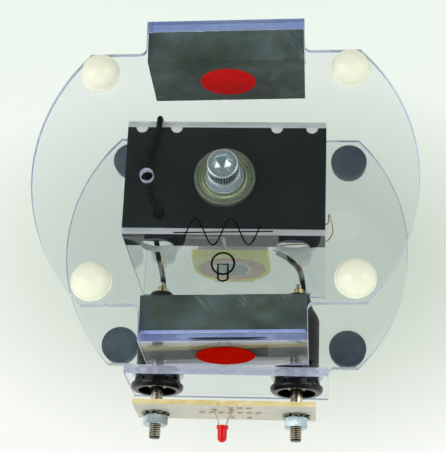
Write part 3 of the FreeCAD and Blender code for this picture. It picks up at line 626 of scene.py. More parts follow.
def break_corners(bm, width, steps=1, **settings):
    """Bevels each edge where two faces meet at more than 50 degrees, and says how many there are."""
    lines = [e for e in bm.edges if len(e.link_faces) == 2 and e.calc_face_angle() > math.radians(50)]
    bmesh.ops.bevel(bm, geom=lines, offset=width, segments=steps, affect="EDGES", clamp_overlap=True,
                    **settings)
    return len(lines)


print("helpers for pieces: object_from, register, turned, merged_copy, join_flats, break_corners")

# %% [markdown]
# ## The three clear sheets
# Base, rotor and coil frame are cut from sheet, then bent. Each could be drawn again, but the solids
# already have the right shape, so a copy of each is joined up and gets what a solid lacks: small
# broken corners, and a second finish on its cut edges. A face belongs to the sheet where the wall
# behind it is one sheet thick. Everywhere else it is a cut edge, and that is measured with a ray.
# The rotor's two bends are drawn in as well, because a sheet folded over a hot wire bends tightly.

# %% Sheets with broken corners and cut edges
solid_bends = (4.0 * MM, 1.0 * MM)
tight_bends = (0.35 * MM, 0.15 * MM)
bend_centre_y = 49.6 * MM
bend_centre_z = rotor_top - solid_bends[0]
sheet_corner = 0.14 * MM
just_inside = 0.002 * MM


def mark_cut_edges(bm, thickness):
    """Gives slot 1 to each face whose wall, straight behind it, isn't one sheet thick."""
    tree = BVHTree.FromBMesh(bm)
    cut = 0
    for face in bm.faces:
        start = face.calc_center_median() - face.normal * just_inside
        _, _, _, depth = tree.ray_cast(start, -face.normal)
        face.material_index = int(depth is None or abs(depth - thickness) > 0.2 * thickness)
        cut += face.material_index
    return cut


def crisper_bends(bm, place):
    """Draws the outer and inner face of both bends in to a tight corner."""
    back = place.inverted()
    for vertex in bm.verts:
        here = back @ vertex.co
        side = 1 if here.y > 0 else -1
        out = Vector((side * here.y - bend_centre_y, here.z - bend_centre_z))
        if min(out) < -0.01 * MM:
            continue
        for now, then in zip(solid_bends, tight_bends):
            if abs(out.length - now) < 0.05 * MM:
                inset = now - then
                new = Vector((inset, inset)) + then * out.normalized()
                vertex.co = place @ Vector((here.x, side * (bend_centre_y + new.x),
                                            bend_centre_z + new.y))


def dressed_sheet(name, node, body, thickness, edge, gap=0.0, bends=None):
    """The sheet's copy. A gap lifts its lowest face off what it stands on: light in two clear pieces
    needs the air between them."""
    bm = merged_copy(node)
    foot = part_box(node)[0].z
    for vertex in bm.verts:
        if vertex.co.z < foot + 0.5 * air_gap:
            vertex.co.z += gap
    cut = mark_cut_edges(bm, thickness)
    if bends:
        crisper_bends(bm, bends)
    join_flats(bm, delimit={"MATERIAL"})
    broken = break_corners(bm, sheet_corner, material=1)
    print(name, "cut-edge triangles:", cut, "broken corners:", broken)
    piece = object_from(bm, name, (clear_sheet, edge), sharp=28.0)
    return register(piece, body, "clear_sheet", node)


dressed_sheet("rotor_sheet", "rotor_plate", "rotor", sheet_thickness, lavender_edge, bends=on_rotor)
dressed_sheet("base_sheet", "base_plate", "base", sheet_thickness, lavender_edge)
dressed_sheet("frame_sheet", "coil_frame", "base", frame_thickness, frosted_edge, air_gap)

# %% [markdown]
# ## Finishes for the solids that stay
# The bearing's balls and cage, the shells, nuts and contacts of the sockets, the inner parts of the
# coil, and small nuts, washers and wires already have their shape. They only need a finish, which is
# put in their material slot.

# %% Finishes on solids
stay = {
    "bearing_balls": steel_ground, "bearing_cage": steel_ground, "coil_cradle": sleeve_white,
    "coil_tape": tape_dark, "core_sleeve": sleeve_white, "coil_core": core_steel,
    "socket_shell_left": socket_black, "socket_shell_right": socket_black,
    "socket_nut_left": socket_black, "socket_nut_right": socket_black,
    "socket_contact_left": brass_plain, "socket_contact_right": brass_plain,
    "bare_strands": tinned_wire, "coil_wires": copper_wire,
    "hub_spacer": zinc_bright, "hub_nut": zinc_bright, "lock_washers": zinc_dark,
    "board_nuts": zinc_bright, "led_leads": tinned_wire,
}
for node, finish in stay.items():
    solids[node].data.materials[0] = finish
print("solids that keep their mesh:", len(stay))

# %% [markdown]
# ## Ferrite magnets
# A ferrite block is pressed and fired like a tile, then ground on its faces. The faces are dark grey
# with slanting marks of the grinding wheel, and the corners are chipped, because ferrite is brittle.
# The chips are made in the mesh: near a corner line the rounding grows wherever a noise is high.

# %% Ferrite finish
def ferrite_finish():
    material, tree, shader, place = cloudy_finish(
        "ferrite_ground", (0.018, 0.031, 0.021), (0.092, 0.128, 0.118), (0.34, 0.5), 62.0, 0.01,
        Specular_IOR_Level=0.25)
    slant = spot(tree, turn=(0, 0, math.radians(50)))
    marks = use_effect(tree, "scratches", slant, Scale=4200.0, Share=0.22)
    groups = add_node(tree, "ShaderNodeTexNoise")
    groups.inputs["Scale"].default_value = 48.0
    groups.inputs["Detail"].default_value = 0.0
    join(tree, place, groups.inputs["Vector"])
    grouped_marks = add_node(tree, "ShaderNodeMath", operation="MULTIPLY")
    join(tree, marks.outputs["Mask"], grouped_marks.inputs[0])
    join(tree, ranged(tree, groups.outputs["Fac"], 0.47, 0.58, 0.0, 0.85), grouped_marks.inputs[1])
    colour_over(tree, shader, grouped_marks.outputs[0], (0.26, 0.32, 0.32))
    stains = use_effect(tree, "cloud", place, Scale=210.0, Detail=6.0)
    colour_over(tree, shader, ranged(tree, stains.outputs["Mask"], 0.5, 0.95, 0.0, 0.7),
                (0.050, 0.056, 0.026))
    add_dust(tree, shader, place, (0.30, 0.34, 0.30), 520.0, 0.06, 0.08)
    return material


ferrite_ground = ferrite_finish()
print("made", ferrite_ground.name)


# %% Ferrite blocks with chipped corner lines
def local_box(node, place):
    """Lowest and highest corner of a solid, in the axes of what carries it."""
    back = place.inverted()
    points = [back @ v.co for v in solids[node].data.vertices]
    return (Vector([min(p[axis] for p in points) for axis in range(3)]),
            Vector([max(p[axis] for p in points) for axis in range(3)]))


def steps_between(low, high, step):
    """Even steps, with two finer ones next to each end."""
    edge = [0.12 * MM, 0.3 * MM]
    margin = 0.6 * MM
    inside = high - low - 2 * margin
    count = max(2, round(inside / step))
    inner = [low + margin + inside * i / count for i in range(count + 1)]
    return [low] + [low + e for e in edge] + inner + [high - e for e in reversed(edge)] + [high]


def add_side(bm, fixed, value, first, second, flip):
    """One face of the block as a grid of small faces."""
    rows = []
    for a in first[1]:
        row = []
        for b in second[1]:
            point = [0, 0, 0]
            point[fixed], point[first[0]], point[second[0]] = value, a, b
            row.append(bm.verts.new(point))
        rows.append(row)
    for low, high in zip(rows, rows[1:]):
        for left in range(len(low) - 1):
            face = [low[left], high[left], high[left + 1], low[left + 1]]
            bm.faces.new(face if flip else face[::-1])


def chipped(point, low, high, seed):
    """The point moved in to a rounded corner line, more where a chip is."""
    wide = noise.noise(point / (2.6 * MM) + seed)
    fine = noise.noise(point / (0.7 * MM) + seed)
    radius = (0.1 + 1.3 * max(0.0, wide - 0.26) + 0.3 * max(0.0, fine - 0.15)) * MM
    core = Vector([min(max(point[i], low[i] + radius), high[i] - radius) for i in range(3)])
    out = point - core
    return core + out.normalized() * min(out.length, radius) if out.length > 0 else point


def ferrite_block(name, node, seed):
    """Chipped block. Its top, and the rear one's back, stay a hair off the clear sheet."""
    low, high = local_box(node, on_rotor)
    high.z -= air_gap
    if high.y > 0:
        high.y -= air_gap
    grid = [steps_between(low[i], high[i], 0.6 * MM) for i in range(3)]
    bm = bmesh.new()
    for fixed, first, second in ((0, 1, 2), (1, 2, 0), (2, 0, 1)):
        for value, flip in ((low[fixed], False), (high[fixed], True)):
            add_side(bm, fixed, value, (first, grid[first]), (second, grid[second]), flip)
    bmesh.ops.remove_doubles(bm, verts=bm.verts, dist=0.01 * MM)
    offset = Vector((seed, 2.0 * seed, 3.0 * seed))
    for vertex in bm.verts:
        vertex.co = chipped(vertex.co, low, high, offset)
    bm.transform(on_rotor)
    return register(object_from(bm, name, [ferrite_ground], 40), "rotor", "ferrite", node)


ferrite_block("rear_magnet_block", "magnet_rear", 3.7)
ferrite_block("front_magnet_block", "magnet_front", 8.1)

# %% [markdown]
# ## Pole labels
# Each magnet carries a red paper disc that marks its pole. Paper is matte, with a faint fibre, and
# its colour is a little uneven where the ink took. The rear solid only gets its ink. The front disc
# sits on the clear tab, so it is turned anew, a hair off it: dry paper doesn't wet the plastic. Its
# red is a darker copy of the same ink, with painted shade in it.

# %% Red paper
def red_paper(name, dark, light):
    material, tree, shader, place = cloudy_finish(name, dark, light, (0.6, 0.75), 260.0, 0.006,
                                                  Specular_IOR_Level=0.0)
    add_dust(tree, shader, place, (0.70, 0.05, 0.03), 700.0, 0.06, 0.05)
    return material


# The front disc's red is the same ink made darker, as painted shade.
label_red = red_paper("label_red", (0.37, 0.003, 0.0003), (0.45, 0.006, 0.0005))
label_red_rear = red_paper("label_red_rear", (0.86, 0.002, 0.0002), (1.0, 0.005, 0.0004))
solids["pole_label_rear"].data.materials[0] = label_red_rear


def front_label():
    """The disc on the tab's face, turned with a tiny broken corner."""
    low, high = local_box("pole_label_front", on_rotor)
    radius = (high.z - low.z) / 2 / MM
    thick = (high.y - low.y - air_gap) / MM
    place = on_rotor @ Matrix.Translation(((low.x + high.x) / 2, low.y, (low.z + high.z) / 2))
    bm = bmesh.new()
    turned(bm, [(0, 0), (radius - 0.04, 0), (radius, 0.04), (radius, thick), (0, thick)],
           place @ Matrix.Rotation(-math.pi / 2, 4, "X"))
    return register(object_from(bm, "front_pole_label", [label_red]), "rotor", "label_red",
                    "pole_label_front")


front_label()

# %% [markdown]
# ## Repeating with Geometry Nodes: four corners
# Feet and bumpers sit in fours near the corners of their sheet. One is turned on the lathe, and a
# small node tree copies it to the four points of a grid, whose spacing is an input. Realize
# Instances turns the copies into real mesh, which a file can carry.

# %% A tree that copies a piece to four corners
def node_tree(name, inputs):
    """Geometry tree with named inputs, and its first and last node."""
    tree = bpy.data.node_groups.new(name, "GeometryNodeTree")
    tree.interface.new_socket("Geometry", in_out="INPUT", socket_type="NodeSocketGeometry")
    for label, kind in inputs.items():
        tree.interface.new_socket(label, in_out="INPUT", socket_type=kind)
    tree.interface.new_socket("Geometry", in_out="OUTPUT", socket_type="NodeSocketGeometry")
    return tree, add_node(tree, "NodeGroupInput"), add_node(tree, "NodeGroupOutput")


def close_tree(tree, start, end, geometry):
    """Ends a tree in real mesh with the given finish."""
    real = add_node(tree, "GeometryNodeRealizeInstances")
    paint = add_node(tree, "GeometryNodeSetMaterial")
    join(tree, geometry, real.inputs[0])
    join(tree, real.outputs[0], paint.inputs["Geometry"])
    join(tree, start.outputs["Finish"], paint.inputs["Material"])
    join(tree, paint.outputs[0], end.inputs[0])


def built(name, tree, start_mesh, values, place, sharp=35.0):
    """Runs the tree on start_mesh and returns a plain object, put in place."""
    maker = bpy.data.objects.new(name + "_maker", start_mesh)
    bpy.context.scene.collection.objects.link(maker)
    modifier = maker.modifiers.new("build", "NODES")
    modifier.node_group = tree
    for item in tree.interface.items_tree:
        if item.in_out == "INPUT" and item.name in values:
            modifier[item.identifier] = values[item.name]
    seen = maker.evaluated_get(bpy.context.evaluated_depsgraph_get())
    mesh = bpy.data.meshes.new_from_object(seen)
    bpy.data.objects.remove(maker)
    mesh.name = name
    mesh.transform(place)
    mesh.shade_smooth()
    mesh.set_sharp_from_angle(angle=math.radians(sharp))
    made = bpy.data.objects.new(name, mesh)
    bpy.context.scene.collection.objects.link(made)
    return made


def make_four_corners():
    tree, start, end = node_tree("four_corners", {
        "Width": "NodeSocketFloat", "Depth": "NodeSocketFloat", "Finish": "NodeSocketMaterial"})
    grid = add_node(tree, "GeometryNodeMeshGrid")
    grid.inputs["Vertices X"].default_value = 2
    grid.inputs["Vertices Y"].default_value = 2
    copies = add_node(tree, "GeometryNodeInstanceOnPoints")
    join(tree, start.outputs["Width"], grid.inputs["Size X"])
    join(tree, start.outputs["Depth"], grid.inputs["Size Y"])
    join(tree, grid.outputs["Mesh"], copies.inputs["Points"])
    join(tree, start.outputs["Geometry"], copies.inputs["Instance"])
    close_tree(tree, start, end, copies.outputs[0])
    return tree


four_corners = make_four_corners()


def outline_radius(outline):
    return max(radius for radius, height in outline)


def in_fours(name, node, outline, frame_place, finish, body, slot):
    """Turns one piece and copies it to the four places where the solid's pieces are."""
    low, high = local_box(node, frame_place)
    radius = outline_radius(outline) * MM
    bm = bmesh.new()
    turned(bm, outline, Matrix.Identity(4), segments=72)
    bmesh.ops.recalc_face_normals(bm, faces=bm.faces)
    mesh = bpy.data.meshes.new(name + "_one")
    bm.to_mesh(mesh)
    bm.free()
    values = {"Width": high.x - low.x - 2 * radius, "Depth": high.y - low.y - 2 * radius, "Finish": finish}
    made = built(name, four_corners, mesh, values, frame_place, 50.0)
    return register(made, body, slot, node)


def dome_outline(radius, height, base):
    """Flattened half ball on a thin round lip, where it meets the sheet."""
    lip = 0.75
    points = [(0, base), (radius - 0.1, base), (radius, base + 0.12), (radius, base + lip - 0.25),
              (radius - 0.12, base + lip - 0.06), (radius - 0.32, base + lip)]
    for step in range(1, 24):
        angle = math.radians(90 * step / 24)
        across = (radius - 0.42) * math.cos(angle) ** 0.9
        points.append((across, base + lip + 0.04 + (height - lip - 0.04) * math.sin(angle)))
    return points + [(0, base + height)]


dome_low, dome_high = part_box("domes")
dome_radius = 6.35
dome_height = (dome_high.z - dome_low.z - air_gap) / MM
dome_base = (dome_low.z + air_gap) / MM
in_fours("cream_bumpers", "domes", dome_outline(dome_radius, dome_height, dome_base), on_rotor,
         cream_rubber, "rotor", "dome_rubber")
foot_top = (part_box("feet")[1].z - air_gap) / MM
foot_outline = [(0, 0.0), (4.9, 0.0), (5.5, 0.12), (5.95, 0.45), (6.12, 1.0), (6.4, 4.5), (6.3, 4.9),
                (6.1, foot_top), (0, foot_top)]
in_fours("rubber_feet", "feet", foot_outline, on_base, foot_slate, "base", "foot_rubber")

# %% [markdown]
# ## Glue behind the front magnet
# The front magnet is held by a dark pad of adhesive, pressed against the clear tab. Where glue wets
# the plastic no light can mirror off its inner face, so the pad looks darker than air does there. It
# is drawn with a torn edge, by a noise, and its front is set a hair inside the clear face. A bead of
# glue lies above it, along the magnet's top edge, coloured lavender-blue as painted light: the glow
# of light carried inside the clear sheet.

# %% Adhesive pad with a torn edge
glue_dark, glue_tree, glue_shader, glue_place = cloudy_finish(
    "glue_dark", (0.002, 0.004, 0.003), (0.012, 0.022, 0.017), (0.35, 0.6), 500.0, 0.02,
    Specular_IOR_Level=0.1)
add_dust(glue_tree, glue_shader, glue_place, (0.06, 0.09, 0.07), 900.0, 0.08, 0.10)


def add_bead(bm, pad_low, pad_high):
    """Flat bar of glue along the magnet's top edge, with the second finish, whose lavender-blue is painted
    light.
    """
    magnet_low, magnet_high = local_box("magnet_front", on_rotor)
    bead = bmesh.ops.create_cube(bm, size=1.0)["verts"]
    size = Vector((magnet_high.x - magnet_low.x - 1 * MM, pad_high.y - pad_low.y - 2 * air_gap, 1.2 * MM))
    middle = Vector(((magnet_low.x + magnet_high.x) / 2, (pad_low.y + pad_high.y) / 2,
                     magnet_high.z - size.z / 2 - air_gap))
    for vertex in bead:
        vertex.co = middle + Vector([vertex.co[i] * size[i] for i in range(3)])
    for face in bm.faces:
        face.material_index = 1


def torn_reach(across, up):
    """How far the pad reaches in a direction: 1 is a square's side, and tears take it in below."""
    square = max(abs(across), abs(up))
    tear = 1.0 - 0.5 * abs(noise.noise(Vector((2.1 * across, 5.0 * up, 1.7)))) * (up < 0.6)
    tear -= 0.3 * abs(noise.noise(Vector((9 * across, 30 * up, 5.2)))) * (abs(up) < 0.6)
    return min(tear / square ** 0.9, 1.0 / square)


def torn_pad(name, node, finishes):
    """Flat pad with a torn outline that starts below the bend, and the bead above it."""
    low, high = local_box(node, on_rotor)
    top, bottom = high.z - 3.4 * MM, low.z
    bm = bmesh.new()
    add_bead(bm, low, high)
    rims = []
    count = 200
    for depth in (low.y - 0.5 * air_gap, high.y - air_gap):
        rim = []
        for step in range(count):
            angle = 2 * math.pi * step / count
            across, up = math.cos(angle), math.sin(angle)
            reach = torn_reach(across, up)
            rim.append(bm.verts.new(((low.x + high.x) / 2 + (high.x - low.x) / 2 * across * reach, depth,
                                     (bottom + top) / 2 + (top - bottom) / 2 * up * reach)))
        rims.append(rim)
    for step in range(count):
        after = (step + 1) % count
        bm.faces.new((rims[0][step], rims[0][after], rims[1][after], rims[1][step]))
    for rim in rims:
        bm.faces.new(rim)
    bm.transform(on_rotor)
    return register(object_from(bm, name, finishes), "rotor", "glue", node)


# The bead's lavender-blue finish is painted light: the glow of light carried inside the clear sheet.
glue_bead_painted_light = cloudy_finish("painted_glow_bead", (0.22, 0.27, 0.52), (0.34, 0.40, 0.68), (0.3, 0.45), 90.0)[0]
torn_pad("glue_patch", "magnet_glue_pad", [glue_dark, glue_bead_painted_light])

# %% [markdown]
# ## Turned metal
# A lathe leaves fine rings round the axis. Rings depend only on the distance from the axis, so the
# finish reads that distance, and a noise along it gives light and dark rings of uneven width. The
# bearing's shields are pressed, not turned, but they have rings too, in an olive tone.

# %% Ringed finishes
def distance_from(tree, centre, along):
    """How far a point is from the line through centre along the axis named, such as "Z"."""
    mapping = spot(tree, [0.0 if axis == along else 1.0 for axis in "XYZ"])
    mapping.node.inputs["Location"].default_value = [
        0.0 if axis == along else -value for axis, value in zip("XYZ", centre)]
    away = add_node(tree, "ShaderNodeVectorMath", operation="LENGTH")
    join(tree, mapping, away.inputs[0])
    return away.outputs["Value"]


def paint_groove_shade(material, away, bottom, top):
    """Painted shade: darkens a finish where the distance from an axis is near the grooves' bottom."""
    tree = material.node_tree
    shader = tree.nodes["Principled BSDF"]
    colour_over(tree, shader, ranged(tree, away, bottom, top, 1.0, 0.0), (0.02, 0.02, 0.015))


def ringed_finish(name, dark, light, rough, fineness, depth, metal):
    """Metal with rings about the rotor's axis. Fineness is in waves per metre, depth in mm."""
    material, tree, shader = new_finish(name, Metallic=metal)
    rings = add_node(tree, "ShaderNodeTexNoise", noise_dimensions="1D")
    rings.inputs["Scale"].default_value = fineness
    rings.inputs["Detail"].default_value = 3.0
    join(tree, distance_from(tree, (0, axis_y, 0), "Z"), rings.inputs["W"])
    cloud = use_effect(tree, "cloud", spot(tree), Scale=240.0)
    tone = mixed(tree, ranged(tree, rings.outputs["Fac"], 0.35, 0.65), dark, light)
    join(tree, mixed(tree, ranged(tree, cloud.outputs["Mask"], 0, 1, 0, 0.4), tone, dark),
         shader.inputs["Base Color"])
    join(tree, ranged(tree, cloud.outputs["Fine"], 0, 1, *rough), shader.inputs["Roughness"])
    relief(tree, shader, rings.outputs["Fac"], depth * MM)
    return material


screw_zinc = ringed_finish("screw_zinc", (0.46, 0.57, 0.58), (0.74, 0.86, 0.87), (0.22, 0.32), 900.0,
                           0.003, 0.78)
washer_zinc = ringed_finish("washer_zinc", (0.26, 0.31, 0.33), (0.62, 0.69, 0.72), (0.26, 0.38), 1500.0,
                            0.004, 0.6)
shield_rings = ringed_finish("shield_rings", (0.20, 0.25, 0.12), (0.52, 0.57, 0.36), (0.26, 0.32), 900.0,
                             0.004, 0.7)
race_steel = ringed_finish("race_steel", (0.14, 0.17, 0.11), (0.34, 0.38, 0.27), (0.26, 0.34), 1200.0,
                           0.0004, 0.65)
solids["bearing_inner_ring"].data.materials[0] = race_steel
print("ringed finishes:", [m.name for m in (screw_zinc, washer_zinc, shield_rings, race_steel)])

# %% [markdown]
# ## Hub screw
# The screw head is a turned cap with a knurled side, a rounded rim and a hexagon socket. All of it is
# one stack of rings with the same number of points. Only the radius changes round each ring: by a
# ripple for the knurl, and by the shape of a hexagon for the socket. The grooves get painted shade.

# %% Knurled cap screw
screw_low, screw_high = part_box("hub_screw")
head_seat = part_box("hub_washer")[1].z / MM
head_top = screw_high.z / MM
head_radius = 4.8
knurls = 34
knurl_depth = 0.55
knurl_zinc = metal_finish("knurl_zinc", (0.40, 0.48, 0.50), (0.60, 0.68, 0.70), (0.25, 0.35), 300.0)
# Painted shade in the knurl's grooves.
paint_groove_shade(knurl_zinc, distance_from(knurl_zinc.node_tree, (0, axis_y, 0), "Z"),
                  (head_radius - 0.45) * MM, (head_radius - 0.1) * MM)


def plain_ring(radius):
    return lambda angle: radius


def knurled_ring(radius, depth):
    return lambda angle: radius - depth * (0.5 + 0.5 * math.cos(knurls * angle)) ** 2


def hexagon_ring(flats, turn):
    def radius(angle):
        step = (angle - turn) % (math.pi / 3) - math.pi / 6
        return flats / 2 / math.cos(step)
    return radius


def stacked(bm, levels, place, segments):
    """A closed skin through rings. Each level is a function of the angle and a height, in mm."""
    rings = []
    for radius, height in levels:
        ring = []
        for step in range(segments):
            angle = 2 * math.pi * step / segments
            reach = radius(angle) * MM
            ring.append(bm.verts.new((reach * math.cos(angle), reach * math.sin(angle), height * MM)))
        rings.append(ring)
    for low, high in zip(rings, rings[1:]):
        for step in range(segments):
            after = (step + 1) % segments
            bm.faces.new((low[step], low[after], high[after], high[step]))
    bm.faces.new(rings[0])
    bm.faces.new(rings[-1])
    bmesh.ops.transform(bm, matrix=place, verts=[v for ring in rings for v in ring])


def cap_screw():
    """The head's rings go up its knurled side, over a rounded rim and down into the hexagon."""
    key_turn = math.radians(12)
    knurled = knurled_ring(head_radius, knurl_depth)
    rim_radius = 0.45
    levels = [(plain_ring(2.97), screw_low.z / MM), (plain_ring(2.97), head_seat),
              (plain_ring(4.5), head_seat + 0.02), (plain_ring(head_radius - 0.05), head_seat + 0.3),
              (knurled, head_seat + 0.6), (knurled, head_top - 1.2),
              (plain_ring(head_radius), head_top - 0.85)]
    for step in range(1, 7):
        angle = math.radians(15 * step)
        levels.append((plain_ring(head_radius - rim_radius + rim_radius * math.cos(angle)),
                       head_top - 0.5 + 0.5 * math.sin(angle)))
    levels += [(plain_ring(3.6), head_top - 0.02), (hexagon_ring(5.7, key_turn), head_top - 0.06),
               (hexagon_ring(5.1, key_turn), head_top - 0.45), (hexagon_ring(5.0, key_turn), head_top - 3.0),
               (plain_ring(2.2), head_top - 3.2), (plain_ring(0.15), head_top - 3.9)]
    bm = bmesh.new()
    stacked(bm, levels, on_rotor, 432)
    for face in bm.faces:
        middle = face.calc_center_median() - Vector((0, axis_y, 0))
        in_band = head_seat + 0.3 < middle.z / MM < head_top - 0.9
        face.material_index = int(in_band and middle.xy.length > 4 * MM and len(face.verts) == 4)
    return register(object_from(bm, "cap_screw", [screw_zinc, knurl_zinc], 30), "rotor", "zinc_steel",
                    "hub_screw")


cap_screw()

# %% [markdown]
# ## Washer, shim, race and shields
# A washer lies under the screw's head, and a shim between the rotor and the bearing. The bearing's
# outer ring holds two pressed shields. Each of them is one closed outline, turned. The shield's has
# the most points, because its crimped rim and steps are what catches the light.

# %% Washer, shim, race and bearing shields
def lathe_piece(name, outlines, place, finish, body, slot, node, sharp=30):
    bm = bmesh.new()
    for outline in outlines:
        turned(bm, outline, place, closed=True, segments=128)
    return register(object_from(bm, name, [finish], sharp), body, slot, node)


washer_low, washer_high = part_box("hub_washer")
washer_seat = (washer_low.z + air_gap) / MM
washer_radius = (washer_high.x - washer_low.x) / 2 / MM
washer_outline = [(3.2, washer_seat + 0.1), (3.3, washer_seat), (washer_radius - 0.2, washer_seat),
                  (washer_radius, washer_seat + 0.2), (washer_radius, head_seat - 0.3),
                  (washer_radius - 0.07, head_seat - 0.1), (washer_radius - 0.25, head_seat),
                  (3.3, head_seat), (3.2, head_seat - 0.1)]
lathe_piece("hub_washer_turned", [washer_outline], on_rotor, washer_zinc, "rotor", "zinc_steel",
            "hub_washer")

shield_low, shield_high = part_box("bearing_shields")


def shield_outline(face, inward):
    """Pressed shield seen from one side: a crimped rim, a step, and a flat lip at the bore."""
    section = [(7.90, 0.62), (7.90, 0.20), (7.80, 0.06), (7.64, 0.02), (7.54, 0.10), (7.40, 0.40),
               (7.26, 0.42), (6.92, 0.06), (6.80, 0.0), (6.60, 0.02), (6.42, 0.12), (6.30, 0.12),
               (6.12, 0.02), (5.35, 0.03), (5.15, 0.12), (4.72, 0.16), (4.72, 0.60), (6.6, 0.62),
               (7.2, 0.80)]
    return [(radius, face + inward * depth) for radius, depth in section]


race_low, race_high = ring_low.z / MM, ring_high.z / MM
race_middle = (race_low + race_high) / 2
race_outline = [(7.93, race_low + 0.2), (8.1, race_low), (9.2, race_low), (9.49, race_low + 0.3),
                (9.49, race_high - 0.3), (9.25, race_high - 0.04), (9.1, race_high), (8.15, race_high),
                (8.02, race_high - 0.05), (7.93, race_high - 0.2), (7.93, race_middle + 1.0),
                (8.06, race_middle + 0.5), (8.06, race_middle - 0.5), (7.93, race_middle - 1.0)]
lathe_piece("outer_race", [race_outline], on_base, race_steel, "base", "bearing_steel",
            "bearing_outer_ring")
shim_low, shim_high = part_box("hub_shim")[0].z / MM + 0.02, (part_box("hub_shim")[1].z - air_gap) / MM
shim_radius = 5.9
shim_outline = [(3.1, shim_low), (shim_radius - 0.15, shim_low), (shim_radius, shim_low + 0.12),
                (shim_radius, shim_high - 0.12), (shim_radius - 0.15, shim_high), (3.1, shim_high)]
lathe_piece("hub_shim_turned", [shim_outline], on_rotor, washer_zinc, "rotor", "zinc_steel", "hub_shim")
lathe_piece("pressed_shields", [shield_outline(shield_high.z / MM, -1), shield_outline(shield_low.z / MM, 1)],
            on_base, shield_rings, "base", "shield_steel", "bearing_shields")

# %% [markdown]
# ## Black block and coil former
# A moulded or milled edge is never perfectly sharp, and its thin highlight is what shows its shape.
# A copy of the solid is joined up and its corner lines are broken. The block is bonded between two
# clear walls, so its faces go a hair into them: a bonded face has no air behind it to mirror light.

# %% Copies with broken corner lines
def black_block():
    """The block, with its front and rear face a hair inside the clear walls."""
    low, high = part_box("top_block")
    bm = merged_copy("top_block")
    for vertex in bm.verts:
        if vertex.co.y < low.y + air_gap:
            vertex.co.y -= 0.5 * air_gap
        if vertex.co.y > high.y - air_gap:
            vertex.co.y += 0.5 * air_gap
    join_flats(bm)
    break_corners(bm, 0.16 * MM, profile=0.6)
    return register(object_from(bm, "black_block", [block_black], 28), "base", "black_plastic", "top_block")


def coil_former():
    bm = merged_copy("coil_flanges")
    join_flats(bm)
    break_corners(bm, 0.3 * MM, 3, profile=0.6)
    return register(object_from(bm, "coil_former", [former_yellow], 28), "base", "former_plastic",
                    "coil_flanges")


black_block()
coil_former()

# %% [markdown]
# ## Socket boots
# A black boot covers the back of each socket up to its brass contact. It is turned, with the axis
# along Y, and narrows in a cone, a little further back than the solid's plain sleeve reaches. The
# frame's clear wall stands behind it like a mirror.

# %% Boots on the sockets
boot_past_sleeve = 4.6


def socket_boot(side):
    low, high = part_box("socket_sleeve_" + side)
    centre = (low + high) / 2
    reach = (high.y - low.y) / MM + boot_past_sleeve
    place = Matrix.Translation((centre.x, low.y, centre.z)) @ Matrix.Rotation(-math.pi / 2, 4, "X")
    outline = [(3.25, 0.05), (6.9, 0.05), (7.05, 0.2), (7.05, 14.6), (6.9, 15.4), (6.5, 16.4),
               (5.8, 17.6), (4.9, 19.0), (4.2, reach - 2.0), (3.75, reach - 0.5), (3.6, reach - 0.1),
               (3.5, reach), (3.3, reach), (3.25, reach - 0.25)]
    bm = bmesh.new()
    turned(bm, outline, place, True, 64)
    return register(object_from(bm, "socket_boot_" + side, [boot_black], 35), "base", "boot_rubber",
                    "socket_sleeve_" + side)


for side in ("left", "right"):
    socket_boot(side)

# %% [markdown]
# ## Coil winding
# The coil is some hundreds of turns of enamelled wire. Only its two ends show, as fourteen layers
# side by side, so each end gets one ring of wire per layer on a plain core. Geometry Nodes makes the
# rings: points give a layer and an end, a circle is scaled on each, tilted a little by chance, and
# swept with a small round section.

# %% Rings of wire by Geometry Nodes
def index_maths(tree, operation, first, second):
    """One step of arithmetic. Each value is a number or a socket."""
    made = add_node(tree, "ShaderNodeMath", operation=operation)
    for socket, value in zip(made.inputs, (first, second)):
        if isinstance(value, (int, float)):
            socket.default_value = value
        else:
            join(tree, value, socket)
    return made.outputs[0]


